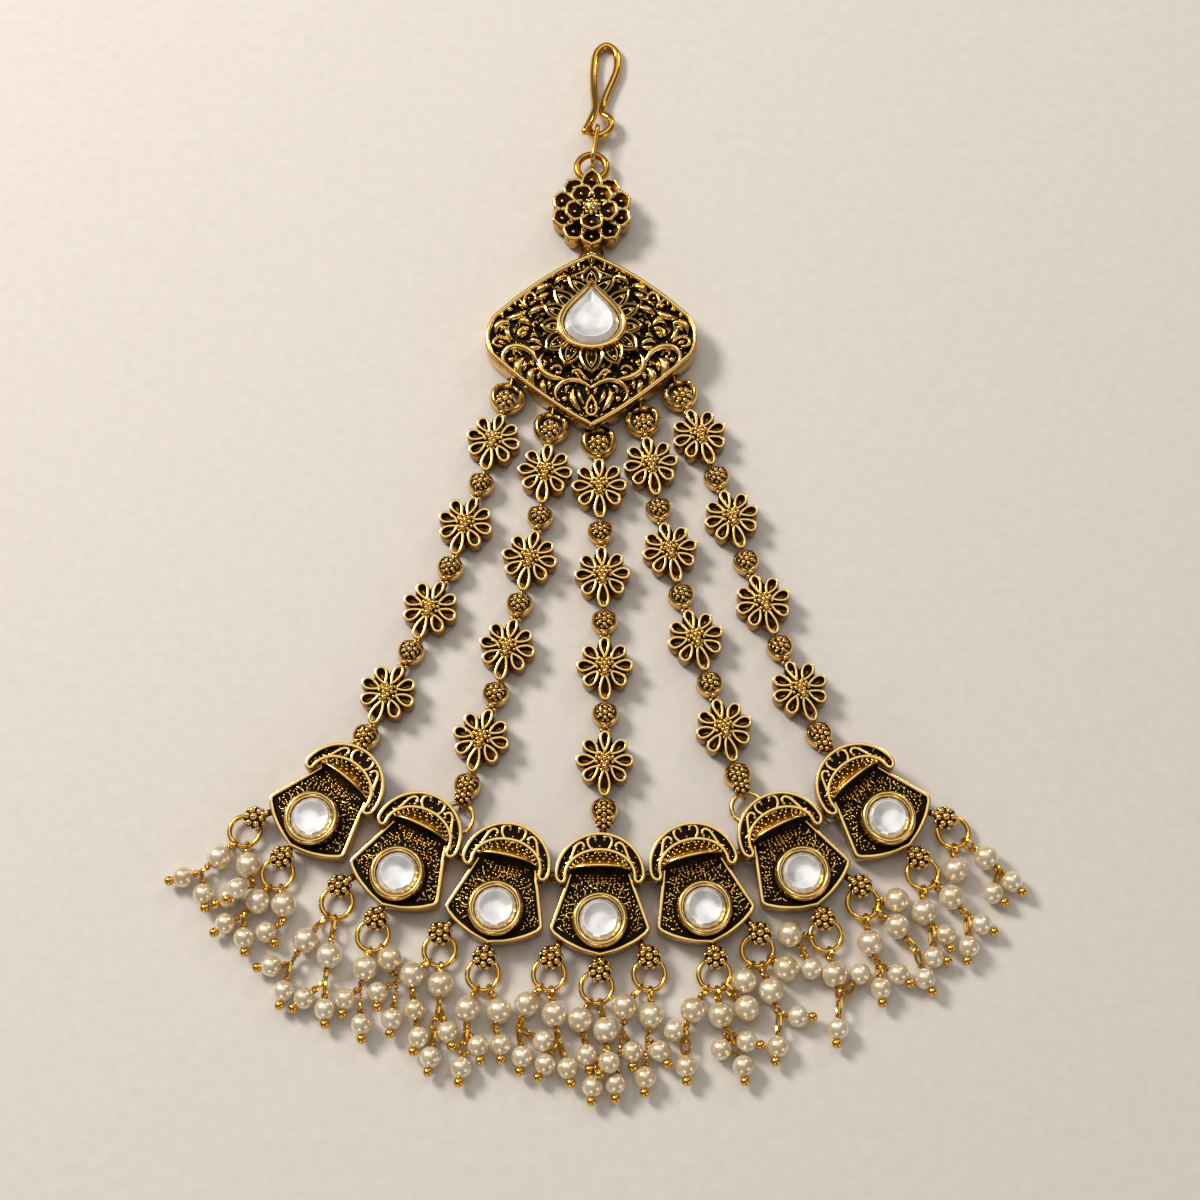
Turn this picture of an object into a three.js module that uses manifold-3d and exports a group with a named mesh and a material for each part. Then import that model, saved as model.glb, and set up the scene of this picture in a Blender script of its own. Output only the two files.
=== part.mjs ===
// A passa: a jewel that hangs at the side of the head, in antique gold with crystals and pearls.
// A hair hook carries a rosette and a kite-shaped medallion. Five strands of cast flowers run down
// to seven hinged plaques, and fifteen jump rings under the plaques carry a fringe of pearls.
//
// Millimetres, +Z up, laid face up on its back. The origin is on the medallion's flat back, under
// the middle of its face. +Y points to the hook, -Y to the fringe. Every leaning or swinging piece
// gives its angle in degrees from straight down (-Y), positive towards +X.
import * as THREE from "three";
import { ConvexGeometry } from "three/addons/geometries/ConvexGeometry.js";
import { mergeVertices } from "three/addons/utils/BufferGeometryUtils.js";
import Module from "manifold-3d";

// ---------------------------------------------------------------- driving dimensions

const PLAY = 0.3; // clearance between two linked pieces, along the strand
const SUNK = 0.4; // how far a soldered piece reaches into the one that carries it

// The joint that every strand repeats: a flat ring caught in an upright eye.
const EYE = { wire: 0.4, width: 0.5, height: 2.0 };
const RING = { band: 0.6, low: 0.7, high: 1.3 };

// Granulated caps, the small domes of gold grains that sit over the joints.
const CAP = { radius: 1.25, low: 2.3, high: 3.1 };
const DOME = { shoulder: 0.75, rise: 0.7 }; // where a dome bends, as shares of its radius and height

const MEDAL = {
  apex: 12.5,
  shoulder: [12.9, 3.3],
  corner: [14.8, 0.1],
  hip: [13.0, -2.7],
  tip: -12.8,
  upperPull: [6.35, 9.9],
  lowerPull: [6.1, -9.4],
  hanger: [14.6, 11.0],
  base: 3.6,
  crown: 4.3,
  crownFoot: 0.9,
  crownTop: 0.5,
};
// The pear's outline: its tip, its widest level, its foot, and the pulls that bend it between them.
const PEAR = {
  top: 7.85,
  half: 4.65,
  widest: 1.05,
  bottom: -2.6,
  middle: 2.1,
  tipPull: [1.2, 5.6],
  upperPull: 3.9,
  lowerPull: -1.0,
  footPull: 2.6,
};
const PEAR_BEZEL = { inner: 0.8, floor: 4.1, top: 5.6 };
const PEAR_STONE = { girdle: 0.74, table: 0.41, seat: 4.3, waist: 5.3, high: 6.3 };

const ROSETTE = {
  y: 19.4,
  petals: 10,
  outer: 5.4,
  valley: 4.4,
  inner: 3.4,
  centre: 1.6,
  neckHalf: 1.0,
  low: 3.0,
  mid: 3.8,
  top: 4.6,
};
// The trapezoid bail under the rosette, and the pocket that gives the medallion's hanger room.
const BAIL = {
  top: -3.8,
  topHalf: 1.0,
  foot: -6.3,
  footHalf: 1.75,
  wire: 0.45,
  slant: 0.63,
  low: 0.5,
  high: 0.9,
};
const BAIL_POCKET = { half: 2.1, top: -4.1, high: 1.6 };
const ROSETTE_RING = { y: 26.8, outer: 2.5, band: 0.95, low: 1.1, high: 1.95 };

const FLOWER = { petals: 8, petal: 3.35, valley: 2.3, high: 2.6, centre: 1.3, top: 3.6 };
const HEAD = { outer: 1.6, firstOuter: 2.3, toFlower: 6.1, firstToFlower: 6.65, firstCapDown: 0.8 };
const STEM = { half: 0.6, from: -0.25, low: 0.3 }; // carries a head's cap and joins it to the flower
const FLOWER_TO_HEAD = 5.95;
const EYE_ROOT = 2.6; // how far from a flower's middle its eye begins
const HANGING_ROOT = 3.6; // how far a strand's first eye reaches into the medallion

// One row a strand: where its first ring hangs, and how far each of its four flowers leans.
const STRANDS = [
  { name: "strand_1", x: -10.9, y: -7.6, lean: [-14.5, -17.7, -22.3, -25.3] },
  { name: "strand_2", x: -5.2, y: -11.8, lean: [-5.9, -11.7, -13.3, -15.5] },
  { name: "strand_3", x: 0.9, y: -13.8, lean: [1.2, 2.3, 0.5, -0.7] },
  { name: "strand_4", x: 6.6, y: -10.8, lean: [8.8, 13.0, 16.2, 15.2] },
  { name: "strand_5", x: 11.5, y: -7.1, lean: [20.9, 16.7, 19.0, 21.6] },
];

// The seven plaques lie on one arc, each turned to face its centre.
const ARC = { x: 1.1, y: -21.6, radius: 54.6, pitch: 13 };
const PLAQUES = 7;
const PLATE = {
  high: 2.9,
  topHalf: 3.3,
  top: 6.5,
  cornerHalf: 5.9,
  corner: -0.8,
  cornerCut: [0.3, 0.8],
  bottom: -4.1,
  bottomPull: [3.2, 0.6],
};
const CRESCENT = { half: 5.35, foot: 5.2, top: 10.4, innerHalf: 3.9, innerTop: 8.2, low: 1.6, high: 3.9 };
const CRESCENT_FOOT_CUT = 0.6; // the slanted cut at each foot of the crescent
const AWNING = { half: 3.4, foot: 5.9, back: 8.5, high: 5.0, lipShare: 0.5, lipDrop: 0.2 };
const BEZEL = { outer: 3.35, inner: 2.65, high: 4.4 };
const STONE = { radius: 2.5, seat: 3.1, girdle: 3.9, table: 1.8, high: 4.6, sides: 12 };
const HINGE = {
  radius: 49.2,
  wire: 0.35,
  width: 0.4,
  height: 1.4,
  low: 0.55,
  high: 0.85,
  leg: 0.8,
  root: 2.6,
};
const SIDE_RING = { outer: 2.2, band: 0.7, fromHead: 4.1, tabHalf: 0.6, tabInward: 0.75 };
// The neck between a plaque and the head soldered to its crescent.
const HEAD_NECK = { radius: 0.5, level: 1.9, seat: 0.7, inward: 0.6 };

// Where a plaque's fringe eyes sit, in its own frame.
const FRINGE_EYE = {
  sideX: 5.75,
  sideY: -4.15,
  middleY: -5.7,
  neck: 0.6,
  neckLevel: 2.1,
  sideRootX: 4.5,
  sideRootY: -2.1,
};

// Jump rings, pearls and head-pin balls of the fringe.
const JUMP = { outer: 2.1, wire: 0.65, level: 1.0, sides: 8 };
const PEARL = 1.6;
const SEED = 1.36;
const BALL = 0.66;
const PIN = { radius: 0.26, sides: 3 };
const BALL_REACH = 1.75; // from the middle of a small pearl to the middle of the ball under it

// One row a jump ring: the plaque that carries it, the place on that plaque, and its swing.
const JUMPS = [
  { plaque: 0, place: -1, swing: -42 },
  { plaque: 0, place: 0, swing: -16 },
  { plaque: 1, place: -1, swing: -10 },
  { plaque: 1, place: 0, swing: -12 },
  { plaque: 2, place: -1, swing: -2 },
  { plaque: 2, place: 0, swing: -5 },
  { plaque: 3, place: -1, swing: -7 },
  { plaque: 3, place: 0, swing: -12 },
  { plaque: 3, place: 1, swing: 2 },
  { plaque: 4, place: 0, swing: -5 },
  { plaque: 4, place: 1, swing: -8 },
  { plaque: 5, place: 0, swing: 7 },
  { plaque: 5, place: 1, swing: 10 },
  { plaque: 6, place: 0, swing: 18 },
  { plaque: 6, place: 1, swing: 33 },
];

// One row a string: its jump ring, the swing and reach of its large pearl from the ring's middle,
// and the turn and length of the wire loops under that pearl. The small pearls hang from the loops'
// end, each as [turn, reach, turn of the ball under it, lift]: null leaves the ball out, and the
// lift raises a pearl that lies on its neighbours. No small pearls: one large pearl alone.
const STRINGS = [
  { ring: 1, swing: -40, reach: 4.3, turn: -50, wire: 2.7, seeds: [[-74, 2.2, -74], [9, 2.7, 9]] },
  { ring: 1, swing: 10, reach: 4.3, turn: 14, wire: 2.5, seeds: [[-62, 3.1, -62], [-60, 1.6, -40, 2.2]] },
  { ring: 2, swing: -32, reach: 4.0, turn: -47, wire: 2.2, seeds: [[-62, 2.3, -50], [5, 2.8, 5]] },
  { ring: 2, swing: 15, reach: 3.9, turn: -1, wire: 2.1, seeds: [[-60, 2.2, 40]] },
  { ring: 3, swing: -37, reach: 5.7, turn: -31, wire: 3.2, seeds: [[-84, 2.2, -84], [-12, 3.2, -12]] },
  { ring: 3, swing: -5, reach: 6.4, turn: -7, wire: 2.9, seeds: [[-49, 3.1, -49], [2, 3.3, 2]] },
  { ring: 4, swing: -10, reach: 4.0, turn: -13, wire: 2.3, seeds: [[-52, 2.1, -10], [4, 4.2, 4]] },
  { ring: 4, swing: 38, reach: 3.6, turn: 19, wire: 2.7, seeds: [[-60, 2.6, 0], [-6, 4.4, -6]] },
  { ring: 5, swing: -47, reach: 4.2, turn: 1, wire: 2.1, seeds: [[10, 2.0, null], [10, 5.2, -20]] },
  { ring: 5, swing: 4, reach: 4.0, turn: -4, wire: 2.5, seeds: [[20, 3.2, 20], [-8, 5.9, -8]] },
  { ring: 6, swing: -23, reach: 4.4, turn: -2, wire: 2.5, seeds: [[-7, 4.2, -7], [40, 2.2, 10]] },
  { ring: 6, swing: 25, reach: 4.7, turn: -16, wire: 2.0, seeds: [[24, 2.1, 0]] },
  { ring: 7, swing: -36, reach: 4.3, turn: -18, wire: 3.0, seeds: [[8, 3.2, -10], [64, 3.2, null]] },
  { ring: 7, swing: 8, reach: 4.7, turn: 9, wire: 3.0, seeds: [[-28, 3.1, -30], [20, 3.4, 10]] },
  { ring: 8, swing: -27, reach: 4.2, turn: 12, wire: 2.2, seeds: [[10, 1.9, 10]] },
  { ring: 8, swing: 12, reach: 5.1, turn: 3, wire: 1.9, seeds: [[-20, 4.7, -5], [8, 1.9, -40, 1.2]] },
  { ring: 9, swing: -38, reach: 4.8, turn: -5, wire: 2.7, seeds: [[25, 2.7, 0], [-8, 6.1, 0]] },
  { ring: 9, swing: 2, reach: 4.8, turn: -12, wire: 2.6, seeds: [[45, 2.1, 30], [-3, 4.5, -3]] },
  { ring: 10, swing: -32, reach: 4.9, turn: -23, wire: 2.4, seeds: [[-84, 1.3, null], [1, 4.2, 1]] },
  {
    ring: 10, swing: 8, reach: 4.8, turn: 21, wire: 2.2,
    seeds: [[-25, 2.0, null], [24, 4.1, 5], [66, 2.3, 75]],
  },
  { ring: 10, swing: 43, reach: 5.4, turn: 0, wire: 0, seeds: [] },
  { ring: 11, swing: -25, reach: 4.0, turn: 0, wire: 0, seeds: [] },
  { ring: 11, swing: 16, reach: 5.0, turn: 18, wire: 2.9, seeds: [[87, 2.2, 87], [-4, 3.6, -10]] },
  { ring: 11, swing: 56, reach: 3.9, turn: 0, wire: 0, seeds: [] },
  { ring: 12, swing: -91, reach: 4.3, turn: 40, wire: 2.0, seeds: [[24, 2.7, null]] },
  { ring: 12, swing: 10, reach: 4.7, turn: 10, wire: 2.8, seeds: [[-6, 3.5, -6], [139, 3.8, null]] },
  { ring: 13, swing: 6, reach: 4.9, turn: 19, wire: 2.7, seeds: [[4, 2.7, 4], [66, 2.5, 50]] },
  { ring: 13, swing: 53, reach: 4.8, turn: 36, wire: 3.6, seeds: [[15, 3.3, 27]] },
  { ring: 13, swing: 93, reach: 3.9, turn: 0, wire: 0, seeds: [] },
  { ring: 14, swing: -3, reach: 4.7, turn: 29, wire: 1.8, seeds: [[55, 1.9, 20], [0, 3.7, 75]] },
  { ring: 14, swing: 48, reach: 4.3, turn: 37, wire: 2.8, seeds: [[0, 3.6, -8], [58, 1.9, 60]] },
  { ring: 15, swing: -2, reach: 4.7, turn: 0, wire: 0, seeds: [] },
  { ring: 15, swing: 49, reach: 4.8, turn: 45, wire: 2.1, seeds: [[-18, 2.9, 50], [45, 2.2, 45]] },
];

// The hook's wire, from its flat free end over the top and down to the eye that holds the link.
const HOOK = { wire: 0.55, sides: 6, steps: 38 };
const HOOK_PATH = [
  { x: -0.95, y: 31.7, z: 2.6 },
  { x: -0.1, y: 33.9, z: 2.3 },
  { x: 0.45, y: 36.1, z: 1.7 },
  { x: 0.3, y: 39.4, z: 1 },
  { x: 0.3, y: 43.3, z: 0.65 },
  { x: 0.85, y: 46.05, z: 0.6 },
  { x: 2.05, y: 47.2, z: 0.6 },
  { x: 3.35, y: 45.8, z: 0.6 },
  { x: 3.5, y: 43.2, z: 0.6 },
  { x: 2.9, y: 41.2, z: 0.6 },
  { x: 2.2, y: 39.3, z: 0.6 },
  { x: 1.55, y: 37.2, z: 0.65 },
  { x: 1.45, y: 35.6, z: 1 },
  { x: 2.45, y: 34.6, z: 1.4 },
  { x: 2.55, y: 33.1, z: 1.5 },
  { x: 1.25, y: 31.9, z: 1.5 },
  { x: 0.1, y: 32.1, z: 1.4 },
  { x: -0.45, y: 33.2, z: 1.0 },
];
const LINK = { x: 0.45, top: 33.55, bottom: 27.1, wire: 0.6, high: 3.0, lean: -7 };

// ---------------------------------------------------------------- materials

function metal(colour, roughness) {
  return new THREE.MeshStandardMaterial({ color: colour, roughness, metalness: 1 });
}

const POLISHED_GOLD = metal("#c99a3c", 0.25);
const ANTIQUE_GOLD = metal("#8a6426", 0.45);
const CRYSTAL = new THREE.MeshStandardMaterial({ color: "#e9edf2", roughness: 0.05, metalness: 0 });
const PEARLS = new THREE.MeshStandardMaterial({ color: "#e8dfd2", roughness: 0.3, metalness: 0 });

// ---------------------------------------------------------------- solids and joins

const wasm = await Module();
wasm.setup();

function radians(degrees) {
  return THREE.MathUtils.degToRad(degrees);
}

// The point a given reach from (x, y), at an angle from straight down.
function swung(x, y, angle, reach) {
  return {
    x: x + reach * Math.sin(radians(angle)),
    y: y - reach * Math.cos(radians(angle)),
  };
}

function solid(geometry) {
  const bare = geometry.clone();
  bare.deleteAttribute("normal");
  bare.deleteAttribute("uv");
  const merged = mergeVertices(bare, 1e-4);
  return new wasm.Manifold(
    new wasm.Mesh({
      numProp: 3,
      vertProperties: merged.attributes.position.array,
      triVerts: new Uint32Array(merged.index.array),
    }),
  );
}

function join(...solids) {
  return solids.reduce((whole, part) => whole.add(part));
}

function piece(name, whole, material) {
  const cut = whole.getMesh();
  const geometry = new THREE.BufferGeometry();
  geometry.setAttribute("position", new THREE.BufferAttribute(cut.vertProperties, 3));
  geometry.setIndex(new THREE.BufferAttribute(cut.triVerts, 1));
  geometry.computeVertexNormals();
  const mesh = new THREE.Mesh(geometry, material);
  mesh.name = name;
  return mesh;
}

// A piece drawn pointing straight down from its own origin, moved to (x, y) and swung there.
function hung(whole, x, y, angle) {
  return whole.rotate([0, 0, angle]).translate([x, y, 0]);
}

function corners(count, radius, phase = 0) {
  const points = [];
  for (let i = 0; i < count; i++) {
    const angle = (2 * Math.PI * (i + phase)) / count;
    points.push(new THREE.Vector2(radius * Math.cos(angle), radius * Math.sin(angle)));
  }
  return points;
}

function slab(shape, low, high, curveSegments = 4) {
  const geometry = new THREE.ExtrudeGeometry(shape, {
    depth: high - low,
    bevelEnabled: false,
    curveSegments,
  });
  return solid(geometry.translate(0, 0, low));
}

function block(x0, x1, y0, y1, z0, z1) {
  const box = new THREE.BoxGeometry(x1 - x0, y1 - y0, z1 - z0);
  return solid(box.translate((x0 + x1) / 2, (y0 + y1) / 2, (z0 + z1) / 2));
}

function flatRing(outer, band, low, high, sides) {
  const shape = new THREE.Shape(corners(sides, outer, 0.5));
  shape.holes.push(new THREE.Path(corners(sides, outer - band, 0.5)));
  return slab(shape, low, high);
}

// A low dome on the Z axis.
function dome(radius, low, high, sides) {
  const profile = [
    new THREE.Vector2(0, low),
    new THREE.Vector2(radius, low),
    new THREE.Vector2(radius * DOME.shoulder, low + (high - low) * DOME.rise),
    new THREE.Vector2(0, high),
  ];
  return solid(new THREE.LatheGeometry(profile, sides).rotateX(Math.PI / 2));
}

// A straight bar between two points, its section a polygon of the given radius.
function bar(from, to, radius, sides) {
  const a = new THREE.Vector3(from.x, from.y, from.z);
  const b = new THREE.Vector3(to.x, to.y, to.z);
  const section = new THREE.Shape(corners(sides, radius, 0.5));
  const length = a.distanceTo(b);
  const geometry = new THREE.ExtrudeGeometry(section, { depth: length, bevelEnabled: false });
  const turn = new THREE.Quaternion();
  turn.setFromUnitVectors(new THREE.Vector3(0, 0, 1), b.clone().sub(a).normalize());
  return solid(geometry.applyQuaternion(turn).translate(a.x, a.y, a.z));
}

// An upright eye: a frame standing on the surface in the YZ plane, from y = root down to y = tip.
function uprightEye(root, tip, wire, width, height) {
  const middle = (root + tip) / 2;
  const length = root - tip;
  const outer = block(-width / 2, width / 2, tip, root, 0, height);
  const hole = block(
    -width,
    width,
    middle - length / 2 + wire,
    middle + length / 2 - wire,
    wire,
    height - wire,
  );
  return outer.subtract(hole);
}

// ---------------------------------------------------------------- hook, link and rosette

function hairHook() {
  const path = new THREE.CatmullRomCurve3(
    HOOK_PATH.map((p) => new THREE.Vector3(p.x, p.y, p.z)),
    false,
    "centripetal",
  );
  const section = new THREE.Shape(corners(HOOK.sides, HOOK.wire));
  return solid(new THREE.ExtrudeGeometry(section, { steps: HOOK.steps, extrudePath: path }));
}

// The link stands on edge: a long loop with round ends, drawn along X and then raised and leaned.
function hookLink() {
  const straight = (LINK.top - LINK.bottom - LINK.high) / 2;
  const loop = (path, radius) => {
    path.absarc(straight, 0, radius, -Math.PI / 2, Math.PI / 2);
    path.absarc(-straight, 0, radius, Math.PI / 2, Math.PI * 1.5);
    return path;
  };
  const shape = loop(new THREE.Shape(), LINK.high / 2);
  shape.holes.push(loop(new THREE.Path(), LINK.high / 2 - LINK.wire));
  return slab(shape, -LINK.wire / 2, LINK.wire / 2, 4)
    .rotate([90, 0, 0])
    .rotate([0, 0, 90 + LINK.lean])
    .translate([LINK.x, (LINK.top + LINK.bottom) / 2, LINK.high / 2]);
}

// A flower's outline: each petal has two shoulders, and a valley to the next.
function petalOutline(petals, tip, valley) {
  const points = [];
  for (let i = 0; i < petals; i++) {
    for (const [turn, radius] of [[-0.2, tip], [0.2, tip], [0.5, valley]]) {
      const angle = (2 * Math.PI * (i + turn)) / petals + Math.PI / 2;
      points.push(new THREE.Vector2(radius * Math.cos(angle), radius * Math.sin(angle)));
    }
  }
  return new THREE.Shape(points);
}

// The bail's outline, or its hole when it is taken in by the width of the wire.
function trapezoid(takenIn) {
  const top = BAIL.top - takenIn;
  const foot = BAIL.foot + takenIn;
  const topHalf = BAIL.topHalf - takenIn;
  const footHalf = BAIL.footHalf - (takenIn * BAIL.slant) / BAIL.wire;
  return new THREE.Shape([
    new THREE.Vector2(-topHalf, top),
    new THREE.Vector2(-footHalf, foot),
    new THREE.Vector2(footHalf, foot),
    new THREE.Vector2(topHalf, top),
  ]);
}

// The rosette: two tiers of petals, the ring above and the trapezoid bail below, soldered as one.
function rosette() {
  const R = ROSETTE;
  const petals = slab(petalOutline(R.petals, R.outer, R.valley), 0, R.low);
  const { half, top } = BAIL_POCKET;
  const pocket = block(-half, half, -R.outer - 1, top, -1, BAIL_POCKET.high);
  const tier = slab(new THREE.Shape(corners(R.petals, R.inner)), R.low - SUNK, R.mid);
  const centre = dome(R.centre, R.mid - SUNK, R.top, 8);
  const rise = ROSETTE_RING.y - R.y;
  const { outer, band, low, high } = ROSETTE_RING;
  const ring = flatRing(outer, band, low, high, 12).translate([0, rise, 0]);
  const topPetal = block(-R.neckHalf, R.neckHalf, R.valley, rise - outer + SUNK, PLAY, R.low);
  const bail = slab(trapezoid(0), BAIL.low, BAIL.high).subtract(slab(trapezoid(BAIL.wire), -1, R.low));
  const body = petals.subtract(pocket).add(bail);
  return join(body, tier, centre, ring, topPetal).translate([0, R.y, 0]);
}

// ---------------------------------------------------------------- medallion and its stone

function medallionShape() {
  const [sx, sy] = MEDAL.shoulder;
  const [cx, cy] = MEDAL.corner;
  const [hx, hy] = MEDAL.hip;
  const [ux, uy] = MEDAL.upperPull;
  const [lx, ly] = MEDAL.lowerPull;
  const shape = new THREE.Shape();
  shape.moveTo(0, MEDAL.apex);
  shape.quadraticCurveTo(-ux, uy, -sx, sy);
  shape.quadraticCurveTo(-cx, cy, -hx, hy);
  shape.quadraticCurveTo(-lx, ly, 0, MEDAL.tip);
  shape.quadraticCurveTo(lx, ly, hx, hy);
  shape.quadraticCurveTo(cx, cy, sx, sy);
  shape.quadraticCurveTo(ux, uy, 0, MEDAL.apex);
  return shape;
}

function pearShape(scale) {
  const { top, half, widest, bottom, middle, upperPull, lowerPull, footPull } = PEAR;
  const [tipX, tipY] = PEAR.tipPull;
  const at = (x, y) => [x * scale, middle + (y - middle) * scale];
  const shape = new THREE.Shape();
  shape.moveTo(...at(0, top));
  shape.bezierCurveTo(...at(-tipX, tipY), ...at(-half, upperPull), ...at(-half, widest));
  shape.bezierCurveTo(...at(-half, lowerPull), ...at(-footPull, bottom), ...at(0, bottom));
  shape.bezierCurveTo(...at(footPull, bottom), ...at(half, lowerPull), ...at(half, widest));
  shape.bezierCurveTo(...at(half, upperPull), ...at(tipX, tipY), ...at(0, top));
  return shape;
}

// A solid whose lower outline is one shape and whose upper outline is a smaller one.
function frustum(lowShape, low, highShape, high) {
  const points = [];
  for (const [shape, z] of [[lowShape, low], [highShape, high]]) {
    shape.getPoints(3).forEach((p) => points.push(new THREE.Vector3(p.x, p.y, z)));
  }
  return solid(new ConvexGeometry(points));
}

function scaledOutline(shape, scale) {
  const points = shape.getPoints(3).map((p) => p.clone().multiplyScalar(scale));
  return new THREE.Shape(points);
}

// The rooms cut under the medallion's edge, where the strands' first rings reach below it.
function ringRooms() {
  const outline = new THREE.Shape(corners(12, HEAD.firstOuter + PLAY, 0.5));
  const room = slab(outline, -1, RING.high + PLAY);
  return STRANDS.map((strand) => room.translate([strand.x, strand.y, 0]));
}

function medallion() {
  const outline = medallionShape();
  const body = slab(outline, 0, MEDAL.base, 3);
  const crown = frustum(
    scaledOutline(outline, MEDAL.crownFoot),
    MEDAL.base - SUNK,
    scaledOutline(outline, MEDAL.crownTop),
    MEDAL.crown,
  );
  const bezel = slab(pearShape(1), MEDAL.base, PEAR_BEZEL.top, 3);
  const pocket = slab(pearShape(PEAR_BEZEL.inner), PEAR_BEZEL.floor, PEAR_BEZEL.top + 1, 3);
  const [hangerTop, hangerRoot] = MEDAL.hanger;
  const hanger = uprightEye(hangerTop, hangerRoot, HINGE.wire, EYE.width, HINGE.height);
  const eyes = STRANDS.map((strand) => {
    const bite = HEAD.firstOuter - RING.band - PLAY;
    const eye = uprightEye(bite + HANGING_ROOT, bite - EYE.wire, EYE.wire, EYE.width, EYE.height);
    return hung(eye, strand.x, strand.y, strand.lean[0]);
  });
  const whole = join(body, crown, bezel).subtract(join(...ringRooms())).subtract(pocket);
  return join(whole, hanger, ...eyes);
}

function pearStone() {
  const P = PEAR_STONE;
  const girdle = pearShape(P.girdle);
  const body = slab(girdle, P.seat, P.waist, 3);
  return join(body, frustum(girdle, P.waist - 0.1, pearShape(P.table), P.high));
}

// ---------------------------------------------------------------- flower strands

// The head above a flower: a flat ring, and a stem in its lower half that carries the cap and
// reaches on below the ring to whatever the head is cast or soldered to.
function head(outer, reach, capDown = 0) {
  const ring = flatRing(outer, RING.band, RING.low, RING.high, 8);
  const stem = block(-STEM.half, STEM.half, -outer - reach, STEM.from, STEM.low, CAP.low + 0.1);
  const cap = dome(CAP.radius, CAP.low, CAP.high, 6).translate([0, -capDown, 0]);
  return join(ring, stem, cap);
}

// One casting: head, neck, flower and the eye under it, drawn with the head's ring at the origin.
function flowerUnit(outer, toFlower, capDown) {
  const petals = slab(petalOutline(FLOWER.petals, FLOWER.petal, FLOWER.valley), 0, FLOWER.high);
  const centre = dome(FLOWER.centre, FLOWER.high - SUNK, FLOWER.top, 6);
  const bite = FLOWER_TO_HEAD - HEAD.outer + RING.band + PLAY;
  const eye = uprightEye(-EYE_ROOT, -bite - EYE.wire, EYE.wire, EYE.width, EYE.height);
  const flower = join(petals, centre, eye).translate([0, -toFlower, 0]);
  return join(head(outer, toFlower - outer - FLOWER.petal + SUNK, capDown), flower);
}

// The heads of one strand in order, each with its lean; the fifth is where the strand ends.
function strandHeads(strand) {
  const heads = [];
  let x = strand.x;
  let y = strand.y;
  strand.lean.forEach((lean, i) => {
    heads.push({ x, y, lean });
    const length = (i === 0 ? HEAD.firstToFlower : HEAD.toFlower) + FLOWER_TO_HEAD;
    ({ x, y } = swung(x, y, lean, length));
  });
  heads.push({ x, y, lean: strand.lean[3] });
  return heads;
}

function strandPieces(strand) {
  const first = flowerUnit(HEAD.firstOuter, HEAD.firstToFlower, HEAD.firstCapDown);
  const other = flowerUnit(HEAD.outer, HEAD.toFlower, 0);
  return strandHeads(strand)
    .slice(0, 4)
    .map((at, i) => {
      const unit = hung(i === 0 ? first : other, at.x, at.y, at.lean);
      return piece(`${strand.name}_flower_${i + 1}`, unit, ANTIQUE_GOLD);
    });
}

// Strands two and four end in a granulated link with an eye over the plaque's side ring.
function endLink() {
  const bite = SIDE_RING.fromHead - SIDE_RING.outer + SIDE_RING.band + PLAY;
  const eye = uprightEye(-HEAD.outer + EYE.wire, -bite - EYE.wire, EYE.wire, EYE.width, EYE.height);
  return join(head(HEAD.outer, 0), eye);
}

function sideRingCentre(strand) {
  const end = strandHeads(strand)[4];
  return swung(end.x, end.y, end.lean, SIDE_RING.fromHead);
}

// ---------------------------------------------------------------- plaques

function plaqueTurn(index) {
  return (index - (PLAQUES - 1) / 2) * ARC.pitch;
}

function plaqueCentre(index) {
  return swung(ARC.x, ARC.y, plaqueTurn(index), ARC.radius);
}

// A point given in a plaque's own frame, in the part's frame.
function onPlaque(index, x, y) {
  const centre = plaqueCentre(index);
  const across = swung(centre.x, centre.y, plaqueTurn(index) + 90, x);
  return swung(across.x, across.y, plaqueTurn(index) + 180, y);
}

// A point of the part's frame, in a plaque's own frame.
function fromPlaque(index, point) {
  const centre = plaqueCentre(index);
  const offset = new THREE.Vector2(point.x - centre.x, point.y - centre.y);
  return offset.rotateAround(new THREE.Vector2(), -radians(plaqueTurn(index)));
}

function plateShape() {
  const P = PLATE;
  const [cutX, cutY] = P.cornerCut;
  const [pullX, pullY] = P.bottomPull;
  const shape = new THREE.Shape();
  shape.moveTo(-P.topHalf, P.top);
  shape.lineTo(-P.cornerHalf, P.corner);
  shape.lineTo(-P.cornerHalf + cutX, P.corner - cutY);
  shape.quadraticCurveTo(-pullX, P.bottom + pullY, 0, P.bottom);
  shape.quadraticCurveTo(pullX, P.bottom + pullY, P.cornerHalf - cutX, P.corner - cutY);
  shape.lineTo(P.cornerHalf, P.corner);
  shape.lineTo(P.topHalf, P.top);
  return shape;
}

function crescentShape() {
  const C = CRESCENT;
  const cut = CRESCENT_FOOT_CUT;
  const shape = new THREE.Shape();
  shape.absellipse(0, C.foot, C.half, C.top - C.foot, 0, Math.PI, false);
  shape.lineTo(-C.half + cut, C.foot - cut);
  shape.absellipse(0, C.foot, C.innerHalf, C.innerTop - C.foot, Math.PI, 0, true);
  shape.lineTo(C.half - cut, C.foot - cut);
  return shape;
}

// The little awning: it swells from the crescent's inner edge and ends in a raised straight lip.
function awning() {
  const points = [];
  for (let i = 0; i <= 4; i++) {
    const angle = (Math.PI * i) / 4;
    const x = AWNING.half * Math.cos(angle);
    const rise = (AWNING.back - AWNING.foot) * Math.sin(angle);
    points.push(new THREE.Vector3(x, AWNING.foot + rise, PLATE.high - SUNK));
    points.push(new THREE.Vector3(x, AWNING.foot + rise, CRESCENT.high - 0.1));
  }
  for (const half of [-1, 1]) {
    const x = half * AWNING.half * AWNING.lipShare;
    points.push(new THREE.Vector3(x, AWNING.foot, AWNING.high - AWNING.lipDrop));
  }
  points.push(new THREE.Vector3(0, AWNING.foot, AWNING.high));
  return solid(new ConvexGeometry(points));
}

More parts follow.
